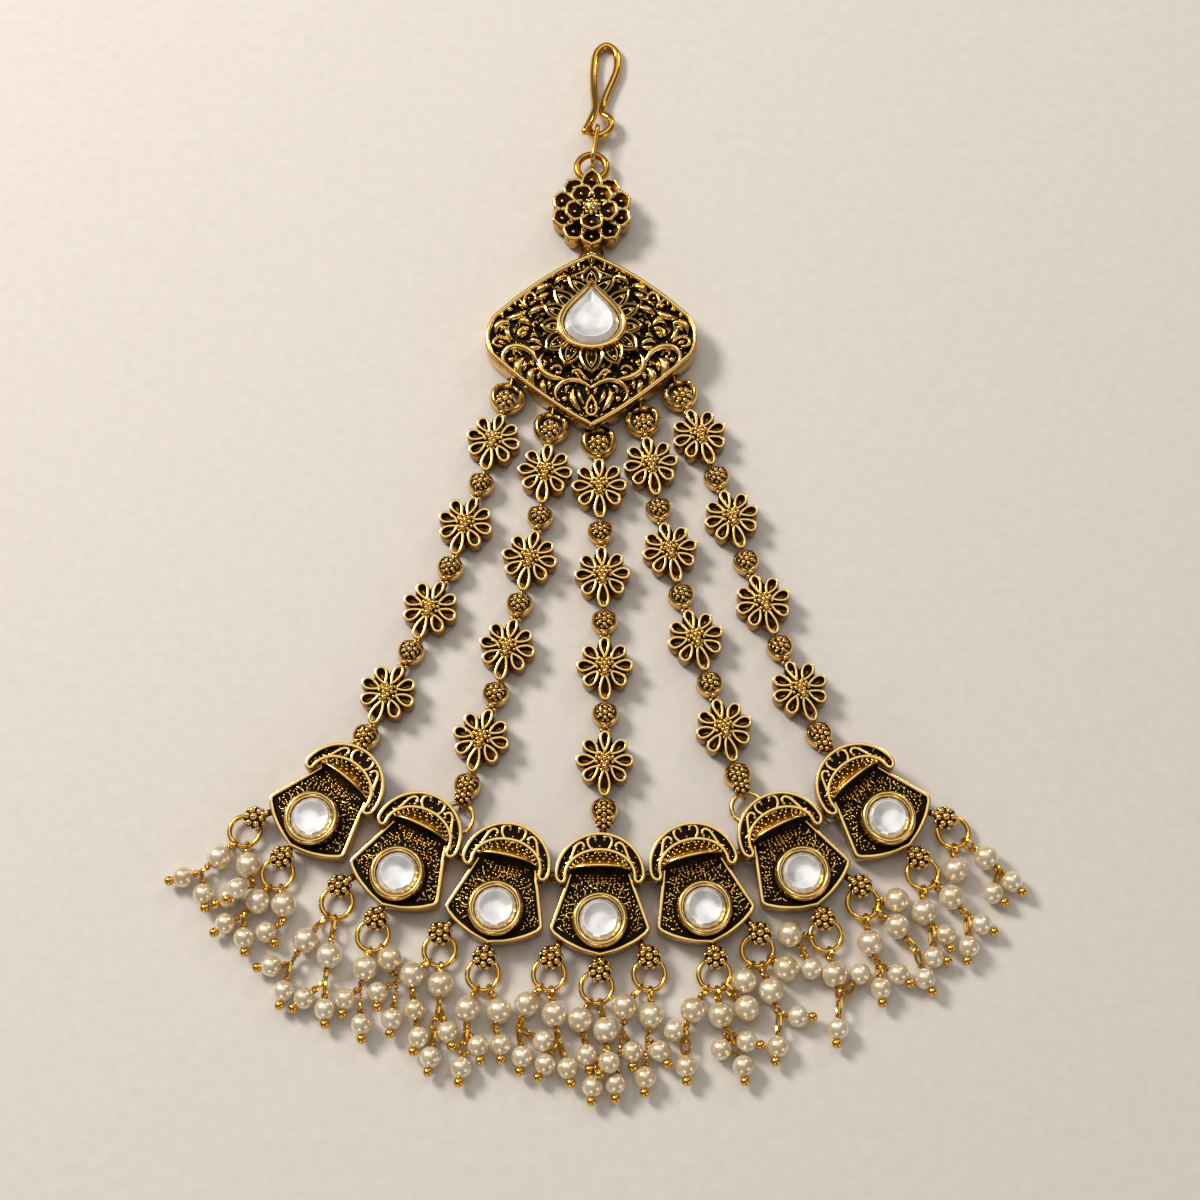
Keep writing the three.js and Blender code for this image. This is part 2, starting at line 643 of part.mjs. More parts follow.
// A granulated fringe eye at a plaque's lower edge, with the neck that solders it there.
function fringeEye(index, jump) {
  const side = jump.place * FRINGE_EYE.sideX;
  const down = jump.place === 0 ? FRINGE_EYE.middleY : FRINGE_EYE.sideY;
  const { sideRootX, sideRootY, neckLevel } = FRINGE_EYE;
  const root = jump.place === 0 ? [0, PLATE.bottom + SUNK] : [jump.place * sideRootX, sideRootY];
  const at = onPlaque(index, side, down);
  const edge = onPlaque(index, ...root);
  const half = JUMP.wire / 2 + PLAY;
  const eye = uprightEye(half + EYE.wire, -half - EYE.wire, EYE.wire, EYE.width, EYE.height);
  const cap = dome(CAP.radius, CAP.low - SUNK, CAP.high, 6);
  const neck = bar({ ...edge, z: neckLevel }, { ...at, z: neckLevel }, FRINGE_EYE.neck, 4);
  return join(hung(join(eye, cap), at.x, at.y, jump.swing), neck);
}

// The hinge between plaque `index` and the next one: an eye on the left one, a staple on the right.
function hingeAt(index) {
  const turn = plaqueTurn(index) + ARC.pitch / 2;
  return { ...swung(ARC.x, ARC.y, turn, HINGE.radius), turn };
}

function hingeEye(index) {
  const at = hingeAt(index);
  const eye = uprightEye(HINGE.root, -HINGE.wire - PLAY / 2, HINGE.wire, HINGE.width, HINGE.height);
  return hung(eye, at.x, at.y, at.turn + 90);
}

function hingeStaple(index) {
  const at = hingeAt(index);
  const { leg, wire, root, low, high } = HINGE;
  const outer = block(-leg, leg, -root, wire + PLAY / 2, low, high);
  const hole = block(-leg + wire, leg - wire, -root + SUNK, PLAY / 2, 0, 2);
  return hung(outer.subtract(hole), at.x, at.y, at.turn + 90);
}

function sideRing(index, strand) {
  const centre = sideRingCentre(strand);
  const ring = flatRing(SIDE_RING.outer, SIDE_RING.band, RING.low, RING.high, 12);
  const own = fromPlaque(index, centre);
  const { outer, band, tabHalf, tabInward } = SIDE_RING;
  const foot = onPlaque(index, own.x * tabInward, own.y - outer + band / 2);
  const tab = block(-tabHalf, tabHalf, -band / 2, band / 2, RING.low, CRESCENT.low + SUNK);
  return join(
    ring.translate([centre.x, centre.y, 0]),
    hung(tab, foot.x, foot.y, plaqueTurn(index)),
  );
}

// The head that ends strands one, three and five, soldered to the crescent's top.
function plaqueHead(index, strand) {
  const end = strandHeads(strand)[4];
  const own = fromPlaque(index, end);
  const foot = onPlaque(index, own.x * HEAD_NECK.inward, CRESCENT.top - SUNK);
  const seat = swung(end.x, end.y, end.lean, HEAD.outer * HEAD_NECK.seat);
  const z = HEAD_NECK.level;
  const neck = bar({ ...seat, z }, { ...foot, z }, HEAD_NECK.radius, 4);
  return join(hung(head(HEAD.outer, 0), end.x, end.y, end.lean), neck);
}

const PLAQUE_EXTRAS = {
  0: (index) => plaqueHead(index, STRANDS[0]),
  1: (index) => sideRing(index, STRANDS[1]),
  3: (index) => plaqueHead(index, STRANDS[2]),
  5: (index) => sideRing(index, STRANDS[3]),
  6: (index) => plaqueHead(index, STRANDS[4]),
};

function plaque(index) {
  const centre = plaqueCentre(index);
  const plate = slab(plateShape(), 0, PLATE.high, 3);
  const crescent = slab(crescentShape(), CRESCENT.low, CRESCENT.high, 4);
  const bezel = flatRing(BEZEL.outer, BEZEL.outer - BEZEL.inner, PLATE.high - SUNK, BEZEL.high, 12);
  const face = hung(join(plate, crescent, awning(), bezel), centre.x, centre.y, plaqueTurn(index));
  const parts = [face];
  JUMPS.filter((jump) => jump.plaque === index).forEach((jump) => parts.push(fringeEye(index, jump)));
  if (index < PLAQUES - 1) parts.push(hingeEye(index));
  if (index > 0) parts.push(hingeStaple(index - 1));
  if (PLAQUE_EXTRAS[index]) parts.push(PLAQUE_EXTRAS[index](index));
  return join(...parts);
}

function roundStone(index) {
  const profile = [
    new THREE.Vector2(0, STONE.seat),
    new THREE.Vector2(STONE.radius, STONE.seat),
    new THREE.Vector2(STONE.radius, STONE.girdle),
    new THREE.Vector2(STONE.table, STONE.high),
    new THREE.Vector2(0, STONE.high),
  ];
  const lathe = new THREE.LatheGeometry(profile, STONE.sides);
  const cut = solid(lathe.rotateX(Math.PI / 2).rotateZ(Math.PI / STONE.sides));
  const centre = plaqueCentre(index);
  return hung(cut, centre.x, centre.y, plaqueTurn(index));
}

// ---------------------------------------------------------------- pearl fringe

function jumpCentre(jump) {
  const side = jump.place * FRINGE_EYE.sideX;
  const down = jump.place === 0 ? FRINGE_EYE.middleY : FRINGE_EYE.sideY;
  const at = onPlaque(jump.plaque, side, down);
  return swung(at.x, at.y, jump.swing, JUMP.outer - JUMP.wire / 2);
}

function pearlAt(point, radius) {
  const pearl = new THREE.IcosahedronGeometry(radius, 0);
  return solid(pearl.translate(point.x, point.y, point.z));
}

// A head-pin's ball end: an octahedron whose inner corner is drawn out into the pearl it holds.
function ballUnder(seed, turn) {
  const ball = new THREE.OctahedronGeometry(BALL, 0);
  const position = ball.attributes.position;
  for (let i = 0; i < position.count; i++) {
    if (position.getY(i) > BALL / 2) position.setY(i, BALL_REACH - SEED / 2);
  }
  const end = swung(seed.x, seed.y, turn, BALL_REACH);
  return hung(solid(ball), end.x, end.y, turn).translate([0, 0, seed.z]);
}

// One string: wire from the jump ring, a large pearl, wire loops and the small pearls below.
function pearlString(string, centre) {
  const hold = { ...swung(centre.x, centre.y, string.swing, JUMP.outer - JUMP.wire / 2), z: JUMP.level };
  const pearl = { ...swung(centre.x, centre.y, string.swing, string.reach), z: PEARL };
  const wire = (from, to) => bar(from, to, PIN.radius, PIN.sides);
  const parts = [wire(hold, pearl), pearlAt(pearl, PEARL)];
  const knot = { ...swung(pearl.x, pearl.y, string.turn, string.wire), z: SEED };
  if (string.seeds.length) parts.push(wire(pearl, knot));
  for (const [turn, reach, ballTurn, lift = 0] of string.seeds) {
    const seed = { ...swung(knot.x, knot.y, turn, reach), z: SEED + lift };
    parts.push(wire(knot, seed), pearlAt(seed, SEED));
    if (ballTurn !== null) parts.push(ballUnder(seed, ballTurn));
  }
  return join(...parts);
}

function pearlDrop(jump, number) {
  const centre = jumpCentre(jump);
  const { outer, wire, level, sides } = JUMP;
  const ring = flatRing(outer, wire, level - wire / 2, level + wire / 2, sides);
  const strings = STRINGS.filter((string) => string.ring === number);
  return join(
    ring.translate([centre.x, centre.y, 0]),
    ...strings.map((string) => pearlString(string, centre)),
  );
}

// ---------------------------------------------------------------- the assembly

const passa = new THREE.Group();
passa.add(piece("hair_hook", hairHook(), POLISHED_GOLD));
passa.add(piece("hook_link", hookLink(), POLISHED_GOLD));
passa.add(piece("rosette", rosette(), ANTIQUE_GOLD));
passa.add(piece("medallion", medallion(), ANTIQUE_GOLD));
passa.add(piece("pear_stone", pearStone(), CRYSTAL));
STRANDS.forEach((strand) => passa.add(...strandPieces(strand)));
[STRANDS[1], STRANDS[3]].forEach((strand) => {
  const end = strandHeads(strand)[4];
  passa.add(piece(`${strand.name}_end_link`, hung(endLink(), end.x, end.y, end.lean), ANTIQUE_GOLD));
});
for (let i = 0; i < PLAQUES; i++) {
  passa.add(piece(`plaque_${i + 1}`, plaque(i), ANTIQUE_GOLD));
  passa.add(piece(`round_stone_${i + 1}`, roundStone(i), CRYSTAL));
}
JUMPS.forEach((jump, i) => passa.add(piece(`pearl_drop_${i + 1}`, pearlDrop(jump, i + 1), PEARLS)));

export default passa;
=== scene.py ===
# %% [markdown]
# # A passa in antique gold
# A passa is a South Asian jewel worn at the side of the head. A hook goes into the hair, and under
# it hang a rosette, a kite-shaped medallion, five strands of flowers, an arc of hinged plaques and
# a fringe of pearls. The castings are brass with a gold plate that was blackened all over and then
# rubbed, so the raised wires shine and the hollows stay dark. That contrast is the whole look, so
# every casting here carries a number on each point, its relief, and one material reads it.

# %% Load the frame
import math
import random

import bpy
import numpy as np
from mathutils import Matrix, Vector


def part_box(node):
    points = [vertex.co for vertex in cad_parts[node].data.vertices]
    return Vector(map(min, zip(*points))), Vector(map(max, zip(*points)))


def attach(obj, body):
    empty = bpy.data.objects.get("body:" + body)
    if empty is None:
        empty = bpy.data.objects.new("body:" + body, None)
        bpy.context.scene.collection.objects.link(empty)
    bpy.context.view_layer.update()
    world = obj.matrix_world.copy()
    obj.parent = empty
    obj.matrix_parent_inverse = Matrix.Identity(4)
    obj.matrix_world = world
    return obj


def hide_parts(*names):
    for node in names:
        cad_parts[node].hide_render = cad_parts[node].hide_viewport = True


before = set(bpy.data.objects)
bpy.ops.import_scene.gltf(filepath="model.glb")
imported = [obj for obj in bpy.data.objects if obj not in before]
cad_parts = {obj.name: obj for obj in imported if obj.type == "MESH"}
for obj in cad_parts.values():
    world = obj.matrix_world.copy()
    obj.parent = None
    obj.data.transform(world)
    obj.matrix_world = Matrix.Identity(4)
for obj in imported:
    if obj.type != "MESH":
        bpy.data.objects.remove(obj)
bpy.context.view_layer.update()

# %% [markdown]
# ## Where things lie
# The frame is a rigid stand-in for each piece. The castings sit on lines that fan out from the
# medallion, so a few numbers place them all: where each strand starts, how far each flower leans,
# and the one arc that the seven plaques share. All of it is in millimetres, and becomes metres
# only when a mesh is made. An angle is in degrees from straight down, positive to the right.

# %% The layout, in millimetres
MM = 0.001
HEAD_RADIUS = 1.6
FIRST_HEAD_RADIUS = 2.3
HEAD_TO_FLOWER = 6.1
FIRST_HEAD_TO_FLOWER = 6.65
FLOWER_TO_HEAD = 5.95
STRANDS = [
    {"x": -10.9, "y": -7.6, "lean": [-14.5, -17.7, -22.3, -25.3]},
    {"x": -5.2, "y": -11.8, "lean": [-5.9, -11.7, -13.3, -15.5]},
    {"x": 0.9, "y": -13.8, "lean": [1.2, 2.3, 0.5, -0.7]},
    {"x": 6.6, "y": -10.8, "lean": [8.8, 13.0, 16.2, 15.2]},
    {"x": 11.5, "y": -7.1, "lean": [20.9, 16.7, 19.0, 21.6]},
]
ARC = {"x": 1.1, "y": -21.6, "radius": 54.6, "pitch": 13, "hinges": 49.2}
PLAQUES = 7


def swung(x, y, angle, reach):
    """The point a given reach from (x, y), at an angle from straight down."""
    a = math.radians(angle)
    return x + reach * math.sin(a), y - reach * math.cos(a)


def strand_heads(strand):
    """(x, y, lean) of a strand's five heads; the last is where the strand ends."""
    heads = []
    x, y = strand["x"], strand["y"]
    for i, lean in enumerate(strand["lean"]):
        heads.append((x, y, lean))
        first = FIRST_HEAD_TO_FLOWER if i == 0 else HEAD_TO_FLOWER
        x, y = swung(x, y, lean, first + FLOWER_TO_HEAD)
    heads.append((x, y, strand["lean"][-1]))
    return heads


def plaque_turn(index):
    return (index - (PLAQUES - 1) / 2) * ARC["pitch"]


def plaque_centre(index):
    return swung(ARC["x"], ARC["y"], plaque_turn(index), ARC["radius"])


def on_plaque(index, x, y):
    """A point given in a plaque's own frame, in the jewel's frame."""
    turn = plaque_turn(index)
    across = swung(*plaque_centre(index), turn + 90, x)
    return swung(*across, turn + 180, y)


def from_plaque(index, x, y):
    """A point of the jewel's frame, in a plaque's own frame."""
    cx, cy = plaque_centre(index)
    a = math.radians(-plaque_turn(index))
    dx, dy = x - cx, y - cy
    return dx * math.cos(a) - dy * math.sin(a), dx * math.sin(a) + dy * math.cos(a)


low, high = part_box("round_stone_4")
seen = (low + high) / 2 / MM
print("stone 4 in the frame:", tuple(round(v, 2) for v in seen[:2]), "here:", plaque_centre(3))

# %% [markdown]
# ## A casting in the making
# Everything metal here is cast, bent or made of grains. Blender could make each part from curves
# and modifiers, but the same few strokes come back hundreds of times, so the points are worked out
# with numpy and gathered in one object a casting. Each point also gets its relief: 1 on the crests
# that a polishing cloth reaches, 0 in the hollows where the black stays.

# %% A casting and the strokes it is made of
UP = np.array([0.0, 0.0, 1.0])


class Casting:
    """One piece in the making: points in millimetres, faces, and the relief of each point."""

    def __init__(self):
        self.points, self.faces, self.relief = [], [], []
        self.count = 0
        self.set_down(0, 0, 0)

    def set_down(self, x, y, turn):
        """Whatever is added next is turned by that many degrees and moved to (x, y)."""
        self.place = (x, y, math.radians(turn))

    def add(self, points, faces, relief):
        x, y, turn = self.place
        p = np.asarray(points, float)
        c, s = math.cos(turn), math.sin(turn)
        px = x + p[:, 0] * c - p[:, 1] * s
        py = y + p[:, 0] * s + p[:, 1] * c
        self.points.append(np.column_stack((px, py, p[:, 2])))
        self.relief.append(np.clip(np.broadcast_to(relief, len(p)), 0, 1))
        self.faces.extend(tuple(i + self.count for i in face) for face in faces)
        self.count += len(p)


def between_rings(rings, sides, closed=False):
    """Quads between rings of points that follow each other, each ring closed on itself."""
    faces = []
    for i in range(rings if closed else rings - 1):
        a, b = i * sides, ((i + 1) % rings) * sides
        for j in range(sides):
            k = (j + 1) % sides
            faces.append((a + j, a + k, b + k, b + j))
    return faces


def end_caps(rings, sides):
    """The two faces that close the first and the last of a row of rings."""
    last = (rings - 1) * sides
    return [tuple(reversed(range(sides))), tuple(range(last, last + sides))]


def unit(vector):
    """A vector at length 1. One with no length stays as it is."""
    return vector / max(np.linalg.norm(vector), 1e-6)


def smooth_path(points, per_span, closed=False):
    """A centripetal Catmull-Rom curve through points in two or three dimensions."""
    p = np.asarray(points, float)
    if closed:
        p = np.vstack((p[-1], p, p[0], p[1]))
    else:
        p = np.vstack((2 * p[0] - p[1], p, 2 * p[-1] - p[-2]))
    out = []
    for a, b, c, d in zip(p, p[1:], p[2:], p[3:]):
        t1 = math.sqrt(np.linalg.norm(b - a))
        t2 = t1 + math.sqrt(np.linalg.norm(c - b))
        t3 = t2 + math.sqrt(np.linalg.norm(d - c))
        for t in np.linspace(t1, t2, per_span, endpoint=False):
            ab = a + (b - a) * t / t1
            bc = b + (c - b) * (t - t1) / (t2 - t1)
            cd = c + (d - c) * (t - t2) / (t3 - t2)
            abc = ab + (bc - ab) * t / t2
            bcd = bc + (cd - bc) * (t - t1) / (t3 - t1)
            out.append(abc + (bcd - abc) * (t - t1) / (t2 - t1))
    if not closed:
        out.append(p[-2])
    return np.array(out)


def tangents(path, closed):
    if closed:
        t = np.roll(path, -1, axis=0) - np.roll(path, 1, axis=0)
    else:
        t = np.gradient(path, axis=0)
    return t / np.maximum(np.linalg.norm(t, axis=1, keepdims=True), 1e-9)


# How thick a stroke is along its length, from 0 to 1, for each way of laying it down.
PROFILES = {
    "wire": lambda s: np.clip(np.minimum(s, 1 - s) * 14, 0.25, 1) ** 0.5,
    "leaf": lambda s: np.clip(np.sin(np.pi * s), 0.03, 1) ** 0.75,
    "tail": lambda s: np.clip(np.minimum(s * 10, 1), 0.3, 1) * (1 - 0.85 * s),
    "even": lambda s: np.ones_like(s),
}


def stroke(casting, points, half_width, half_height, level, kind="wire", sides=8, closed=False):
    """A raised line on a surface: an oval section drawn along a path, its middle at level(x, y)."""
    flat = np.asarray(points, float)
    height = level if callable(level) else (lambda x, y: np.full_like(x, level))
    path = np.column_stack((flat[:, 0], flat[:, 1], height(flat[:, 0], flat[:, 1])))
    along = tangents(path, closed)
    side = np.cross(UP, along)
    side /= np.maximum(np.linalg.norm(side, axis=1, keepdims=True), 1e-9)
    up = np.cross(along, side)
    steps = np.linalg.norm(np.diff(path, axis=0), axis=1)
    share = np.concatenate(([0], np.cumsum(steps))) / max(steps.sum(), 1e-9)
    swell = PROFILES["even" if closed else kind](share)[:, None, None]
    angle = np.linspace(0, 2 * math.pi, sides, endpoint=False)
    across = np.cos(angle)[None, :, None] * side[:, None, :] * half_width
    flattened = np.sign(np.sin(angle)) * np.abs(np.sin(angle)) ** 0.75
    rise = flattened[None, :, None] * up[:, None, :] * half_height
    rings = path[:, None, :] + (across + rise) * swell
    relief = np.tile(0.42 + 0.75 * np.sin(angle), len(path))
    faces = between_rings(len(path), sides, closed)
    if not closed:
        faces += end_caps(len(path), sides)
    casting.add(rings.reshape(-1, 3), faces, relief)


def wire(casting, path, radius, sides=8, closed=False, relief=0.95):
    """Round wire along any path in space, its ends rounded off."""
    path = np.asarray(path, float)
    along = tangents(path, closed)
    side = np.cross(along[0], UP if abs(along[0][2]) < 0.9 else np.array([1.0, 0, 0]))
    frames = []
    for t in along:
        side = side - t * side.dot(t)
        side /= np.linalg.norm(side)
        frames.append((side.copy(), np.cross(t, side)))
    radii = np.full(len(path), float(radius))
    if not closed:
        first, last = path[0] - along[0] * radius * 0.6, path[-1] + along[-1] * radius * 0.6
        path = np.vstack((first, path, last))
        frames = [frames[0], *frames, frames[-1]]
        radii = np.concatenate(([radius * 0.45], radii, [radius * 0.45]))
    rings = []
    for point, (a, b), r in zip(path, frames, radii):
        for j in range(sides):
            turn = 2 * math.pi * j / sides
            rings.append(point + r * (math.cos(turn) * a + math.sin(turn) * b))
    faces = between_rings(len(path), sides, closed)
    if not closed:
        faces += end_caps(len(path), sides)
    casting.add(rings, faces, relief)


def ball(casting, x, y, z, radius, segments=10, rings=6, darkest_oxide_and_shade=0.3):
    """A grain of gold, darker towards its foot: oxide where it meets the metal of a blackened
    casting, painted shade under a polished ball.
    """
    points = [(0, 0, -1)]
    for i in range(1, rings):
        a = math.pi * i / rings - math.pi / 2
        for j in range(segments):
            b = 2 * math.pi * j / segments
            points.append((math.cos(a) * math.cos(b), math.cos(a) * math.sin(b), math.sin(a)))
    points.append((0, 0, 1))
    unit = np.array(points)
    top = len(points) - 1
    faces = between_rings(rings - 1, segments)
    faces = [tuple(i + 1 for i in face) for face in faces]
    for j in range(segments):
        k = (j + 1) % segments
        faces.append((0, 1 + k, 1 + j))
        faces.append((top - segments + j, top - segments + k, top))
    casting.add(unit * radius + (x, y, z), faces, darkest_oxide_and_shade + 0.8 * (unit[:, 2] + 0.35))


def inset(outline, distance):
    """An outline moved inwards by a small distance, counter-clockwise outlines only."""
    before, after = np.roll(outline, 1, axis=0), np.roll(outline, -1, axis=0)
    t = after - before
    t /= np.maximum(np.linalg.norm(t, axis=1, keepdims=True), 1e-9)
    return outline + np.column_stack((-t[:, 1], t[:, 0])) * distance


def shell(casting, outline, rows, centre=(0, 0)):
    """A body in level rings: each row gives its share of the way out from the centre, its inset
    from the outline, its height (a number or a function of x and y) and its relief."""
    outline = np.asarray(outline, float)
    centre = np.asarray(centre, float)
    points, relief = [], []
    for share, inward, z, shine in rows:
        ring = centre + (inset(outline, inward) - centre) * share
        level = z(ring[:, 0], ring[:, 1]) if callable(z) else np.full(len(ring), float(z))
        points.append(np.column_stack((ring, level)))
        relief.append(np.full(len(ring), shine))
    faces = between_rings(len(rows), len(outline))
    casting.add(np.vstack(points), faces, np.concatenate(relief))


def circle(radius, count, x=0.0, y=0.0):
    angle = np.linspace(0, 2 * math.pi, count, endpoint=False)
    return np.column_stack((x + radius * np.cos(angle), y + radius * np.sin(angle)))


def lobed(count, reach, lobe, per_lobe, first=-90.0):
    """The outline of round lobes set in a ring: cast petals seen from above."""
    points = []
    for i in range(count):
        middle = math.radians(first + 360 * i / count)
        for offset in np.linspace(-0.5, 0.5, per_lobe, endpoint=False):
            a = offset * 2 * math.pi / count
            r = reach * math.cos(a) + math.sqrt(max(lobe**2 - (reach * math.sin(a)) ** 2, 0.01))
            points.append((r * math.cos(middle + a), r * math.sin(middle + a)))
    return np.array(points)


# %% [markdown]
# ## Colours and one node at a time
# Colours are picked as sRGB hex values, the way a screen shows them, but the shader works with
# light, so one function turns them to linear. A second one adds a node with its settings and its
# links in a line, which keeps a long node tree readable.

# %% Helpers for materials


def linear(code):
    """An sRGB hex colour as the linear RGBA that a shader wants."""
    values = [int(code[i : i + 2], 16) / 255 for i in (1, 3, 5)]
    return (*[v / 12.92 if v <= 0.04045 else ((v + 0.055) / 1.055) ** 2.4 for v in values], 1.0)


def add_node(tree, kind, settings=None, **inputs):
    """A node, its settings, and its inputs: a value is set, an output socket is linked."""
    node = tree.nodes.new(kind)
    for key, value in (settings or {}).items():
        setattr(node, key, value)
    for name, value in inputs.items():
        socket = node.inputs[int(name[1:])] if name[0] == "i" and name[1:].isdigit() else None
        socket = socket or node.inputs[name.replace("_", " ")]
        if isinstance(value, bpy.types.NodeSocket):
            tree.links.new(value, socket)
        else:
            socket.default_value = value
    return node


def new_material(name):
    """An empty material: its tree and its output."""
    material = bpy.data.materials.new(name)
    material.use_nodes = True
    material.node_tree.nodes.clear()
    output = material.node_tree.nodes.new("ShaderNodeOutputMaterial")
    return material, material.node_tree, output


def colour_ramp(tree, factor, stops):
    node = tree.nodes.new("ShaderNodeValToRGB")
    ramp = node.color_ramp
    while len(ramp.elements) < len(stops):
        ramp.elements.new(0.5)
    for element, (position, code) in zip(ramp.elements, stops):
        element.position = position
        element.color = linear(code) if isinstance(code, str) else (code, code, code, 1)
    tree.links.new(factor, node.inputs["Fac"])
    return node.outputs["Color"]


# %% [markdown]
# ## Antique gold on cast brass
# The castings are brass, gold-plated, dipped in a black oxidising bath and then rubbed on a soft
# wheel. To the eye that gives bright yellow crests, brown slopes and matt black hollows. The
# relief of each point drives colour, metal and roughness together. A noise of about 1 mm breaks
# the edge of the black up, as a cloth does, and a finer one gives the cast surface its pits.

# %% The antique gold material
PATINA_MM = 1.1
PIT_MM = 0.16


def antique_gold():
    material, tree, output = new_material("antique_gold_plated_brass")
    place = add_node(tree, "ShaderNodeTexCoord").outputs["Object"]
    relief = add_node(tree, "ShaderNodeAttribute", {"attribute_name": "relief"}).outputs["Fac"]
    blot = add_node(tree, "ShaderNodeTexNoise", Vector=place, Scale=1 / (PATINA_MM * MM),
                    Detail=3.0, Roughness=0.6).outputs["Fac"]
    rubbed = add_node(tree, "ShaderNodeMath", {"operation": "MULTIPLY_ADD"},
                      i0=blot, i1=0.4, i2=-0.2).outputs[0]
    worn = add_node(tree, "ShaderNodeMath", {"operation": "ADD", "use_clamp": True},
                    i0=relief, i1=rubbed).outputs[0]
    colour = colour_ramp(tree, worn, [(0.06, "#170a02"), (0.24, "#4f2b07"), (0.44, "#8c5a14"),
                                      (0.64, "#c8943a"), (0.86, "#f0cb7c")])
    metal = colour_ramp(tree, worn, [(0.1, 0.85), (0.35, 1.0)])
    rough = colour_ramp(tree, worn, [(0.1, 0.45), (0.45, 0.3), (0.85, 0.2)])
    pits = add_node(tree, "ShaderNodeTexNoise", Vector=place, Scale=1 / (PIT_MM * MM),
                    Detail=4.0, Roughness=0.55).outputs["Fac"]
    bump = add_node(tree, "ShaderNodeBump", Strength=0.14, Distance=0.04 * MM, Height=pits)
    shader = add_node(tree, "ShaderNodeBsdfPrincipled", Base_Color=colour, Metallic=metal,
                      Roughness=rough, Normal=bump.outputs["Normal"])
    tree.links.new(shader.outputs["BSDF"], output.inputs["Surface"])
    return material


ANTIQUE_GOLD = antique_gold()

# %% [markdown]
# ## Polished gold wire
# The hook, its link, the jump rings and the head-pins are drawn brass wire with the same plate,
# but they were never blackened. Drawing leaves them smooth, so they mirror the lights in long
# streaks. A very faint noise keeps the mirror from looking computed, and the relief still darkens
# the places where a loop closes. It also darkens the underside of each gold ball at a pin's end,
# which is painted shade.

# %% The polished gold material
WIRE_WAVE_MM = 0.7


def polished_gold():
    material, tree, output = new_material("polished_gold_plated_wire")
    place = add_node(tree, "ShaderNodeTexCoord").outputs["Object"]
    relief = add_node(tree, "ShaderNodeAttribute", {"attribute_name": "relief"}).outputs["Fac"]
    wave = add_node(tree, "ShaderNodeTexNoise", Vector=place, Scale=1 / (WIRE_WAVE_MM * MM),
                    Detail=2.0).outputs["Fac"]
    # A low relief darkens the colour; under the gold balls at the pins' ends this is painted shade.
    colour = colour_ramp(tree, relief, [(0.0, "#341c05"), (0.4, "#a66e1c"), (0.9, "#e6b655")])
    rough = add_node(tree, "ShaderNodeMath", {"operation": "MULTIPLY_ADD"},
                     i0=wave, i1=0.12, i2=0.09).outputs[0]
    bump = add_node(tree, "ShaderNodeBump", Strength=0.2, Distance=0.02 * MM, Height=wave)
    shader = add_node(tree, "ShaderNodeBsdfPrincipled", Base_Color=colour, Metallic=1.0,
                      Roughness=rough, Normal=bump.outputs["Normal"])
    tree.links.new(shader.outputs["BSDF"], output.inputs["Surface"])
    return material


POLISHED_GOLD = polished_gold()

# %% [markdown]
# ## Imitation pearl
# The pearls are glass or acrylic beads dipped in pearl essence, a lacquer with tiny flakes. They
# look cream and soft because some light goes in and comes out again, the flakes mirror it dimly,
# and the last coat adds a clear highlight. Subsurface light gives the first, a half-metallic base
# the second and a thin coat the third. A slow noise changes the cream a little from bead to bead.

# %% The pearl material
ESSENCE_MM = 2.5


def pearl_lacquer():
    material, tree, output = new_material("pearl_essence_lacquer")
    place = add_node(tree, "ShaderNodeTexCoord").outputs["Object"]
    drift = add_node(tree, "ShaderNodeTexNoise", Vector=place, Scale=1 / (ESSENCE_MM * MM),
                     Detail=1.0).outputs["Fac"]
    colour = colour_ramp(tree, drift, [(0.3, "#e5d0a8"), (0.5, "#efe0c2"), (0.7, "#f6ecd8")])
    rough = add_node(tree, "ShaderNodeMath", {"operation": "MULTIPLY_ADD"},
                     i0=drift, i1=0.1, i2=0.22).outputs[0]
    shader = add_node(tree, "ShaderNodeBsdfPrincipled", Base_Color=colour, Roughness=rough,
                      Metallic=0.55, IOR=1.53, Subsurface_Weight=0.15, Subsurface_Scale=0.5 * MM,
                      Coat_Weight=0.85, Coat_Roughness=0.1)
    shader.inputs["Subsurface Radius"].default_value = (1.0, 0.75, 0.55)
    tree.links.new(shader.outputs["BSDF"], output.inputs["Surface"])
    return material


PEARL_MATERIAL = pearl_lacquer()

# %% [markdown]
# ## Crystal on its foil
# The stones are pressed glass with a silver foil under them. Light goes in through the cut top,
# meets the foil's small mirrors and comes back white or grey, facet by facet. The eye can't part
# the glass from the foil, so one shader stands for both: a silvery body, a clear hard coat over
# it, and a slow change of tone where the foil lies closer to the glass or further from it.

# %% The crystal material
FOIL_MM = 2.2


def foiled_crystal():
    material, tree, output = new_material("foil_backed_crystal")
    place = add_node(tree, "ShaderNodeTexCoord").outputs["Object"]
    tone = add_node(tree, "ShaderNodeTexNoise", Vector=place, Scale=1 / (FOIL_MM * MM),
                    Detail=1.5).outputs["Fac"]
    colour = colour_ramp(tree, tone, [(0.35, "#d4d7dc"), (0.5, "#eceef1"), (0.65, "#fbfbfc")])
    rough = add_node(tree, "ShaderNodeMath", {"operation": "MULTIPLY_ADD"},
                     i0=tone, i1=0.16, i2=0.14).outputs[0]
    shader = add_node(tree, "ShaderNodeBsdfPrincipled", Base_Color=colour, Roughness=rough,
                      Metallic=0.45, IOR=1.56, Coat_Weight=0.7, Coat_Roughness=0.05, Coat_IOR=1.56)
    tree.links.new(shader.outputs["BSDF"], output.inputs["Surface"])
    return material


CRYSTAL = foiled_crystal()

# %% [markdown]
# ## From a casting to a piece
# A finished casting becomes one mesh in metres. Faces are smooth but an edge over 45 degrees stays
# crisp, as on a struck or pressed piece. The piece then rides on the frame's one body, and the
# frame's own part for its node is hidden.

# %% Making a piece
CRISP = math.radians(45)
triangles_made = {}


